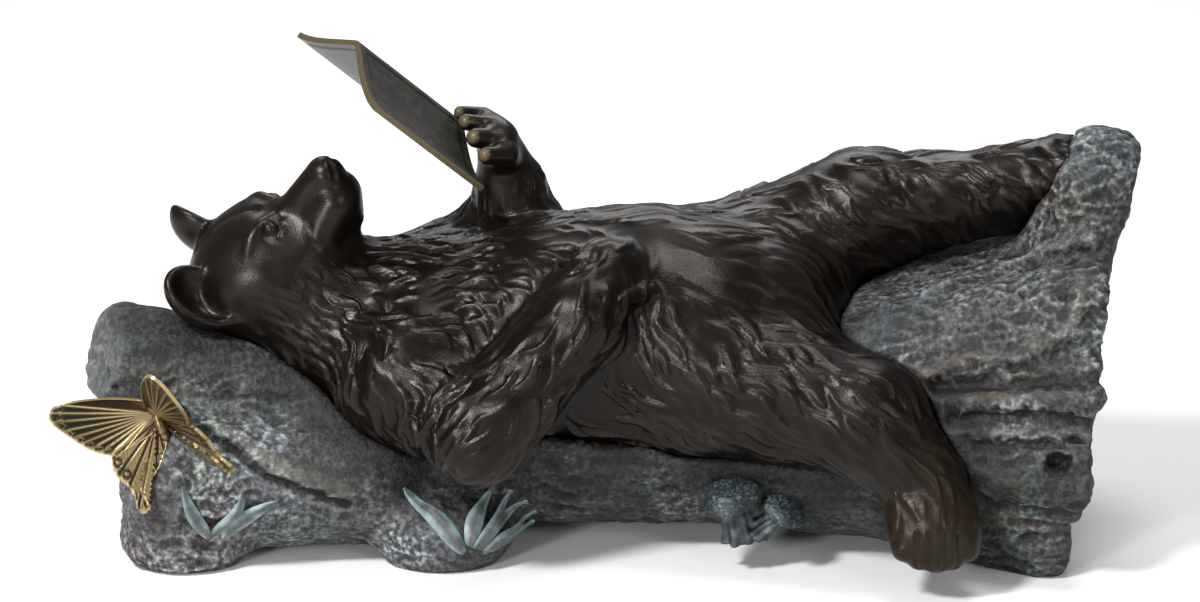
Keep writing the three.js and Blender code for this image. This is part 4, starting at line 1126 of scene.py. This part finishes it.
brass = {
    "tones": [(0.1, (0.014, 0.0105, 0.006)), (0.5, (0.042, 0.031, 0.0145)), (0.8, (0.155, 0.117, 0.052)),
              (1.0, (0.40, 0.32, 0.157))],
    "copper": (0.11, 0.05, 0.026), "sockets": {"Metallic": 0.75, "Roughness": 0.33},
}


def brassFinish():
    finish, shader = newFinish("antique brass", brass["sockets"])
    tone = rampOf(finish, attributeOf(finish, "rise"), brass["tones"])
    tone = mixOf(finish, attributeOf(finish, "copper"), 0.35, tone, brass["copper"])
    wire(finish, tone, shader["Base Color"])
    return finish


studio = {
    "target": (-0.0020, 0.0050, 0.1206), "elevation": 15, "distance": 1.417, "lens": 85,
    "floor": 30.0, "floorSockets": {"Base Color": (0.78, 0.78, 0.78, 1), "Roughness": 0.9}, "sky": 0.24,
    "lamps": [  # name, place, what it looks at, watts, size
        ("key softbox", (-0.75, -0.9, 1.3), (-0.05, 0, 0.12), 32, 0.28),
        ("top softbox", (0.25, -0.1, 1.5), (0, 0, 0), 9, 0.45),
        ("front softbox", (0.9, -1.6, 0.9), (0.05, 0, 0.1), 7, 0.5),
        ("low softbox", (-0.75, -1.35, 0.45), (-0.05, 0, 0.08), 12, 0.2),
        ("backdrop softbox", (0, 1.7, 1.5), (0, 1.7, 0), 30, 1.4)],
}


def setStudio():
    lift = math.radians(studio["elevation"])
    target = Vector(studio["target"])
    away = Vector((0, -math.cos(lift), math.sin(lift)))
    place = target + away * studio["distance"]
    bpy.ops.object.camera_add(location=place, rotation=(math.pi / 2 - lift, 0, 0))
    camera = bpy.context.object
    camera.data.lens = studio["lens"]
    bpy.context.scene.camera = camera
    bpy.ops.mesh.primitive_plane_add(size=studio["floor"])
    floor = bpy.context.object
    floor.name = "floor"
    finish, _ = newFinish("pale floor", studio["floorSockets"])
    floor.data.materials.append(finish)
    world = bpy.data.worlds.new("soft sky")
    world.use_nodes = True
    setSockets(world.node_tree.nodes["Background"], {"Color": (1, 1, 1, 1), "Strength": studio["sky"]})
    bpy.context.scene.world = world
    bpy.context.scene.view_settings.view_transform = "Standard"
    for name, place, aim, power, size in studio["lamps"]:
        bpy.ops.object.light_add(type="AREA", location=place)
        lamp = bpy.context.object
        lamp.name = name
        lamp.data.energy = power
        lamp.data.size = size
        lamp.rotation_euler = (Vector(aim) - Vector(place)).to_track_quat("-Z", "Y").to_euler()
    print("studio set")


hangOn(buildBear(), bearFinish(), "bear")
hangOn(buildLog(), logFinish(), "log_base")
hangOn(buildGrass(), leafFinish())
hangOn(buildMushrooms(), capFinish())
hangOn(buildBook(), bookFinish(), "book")
hangOn(buildButterfly(), brassFinish(), "butterfly")
setStudio()
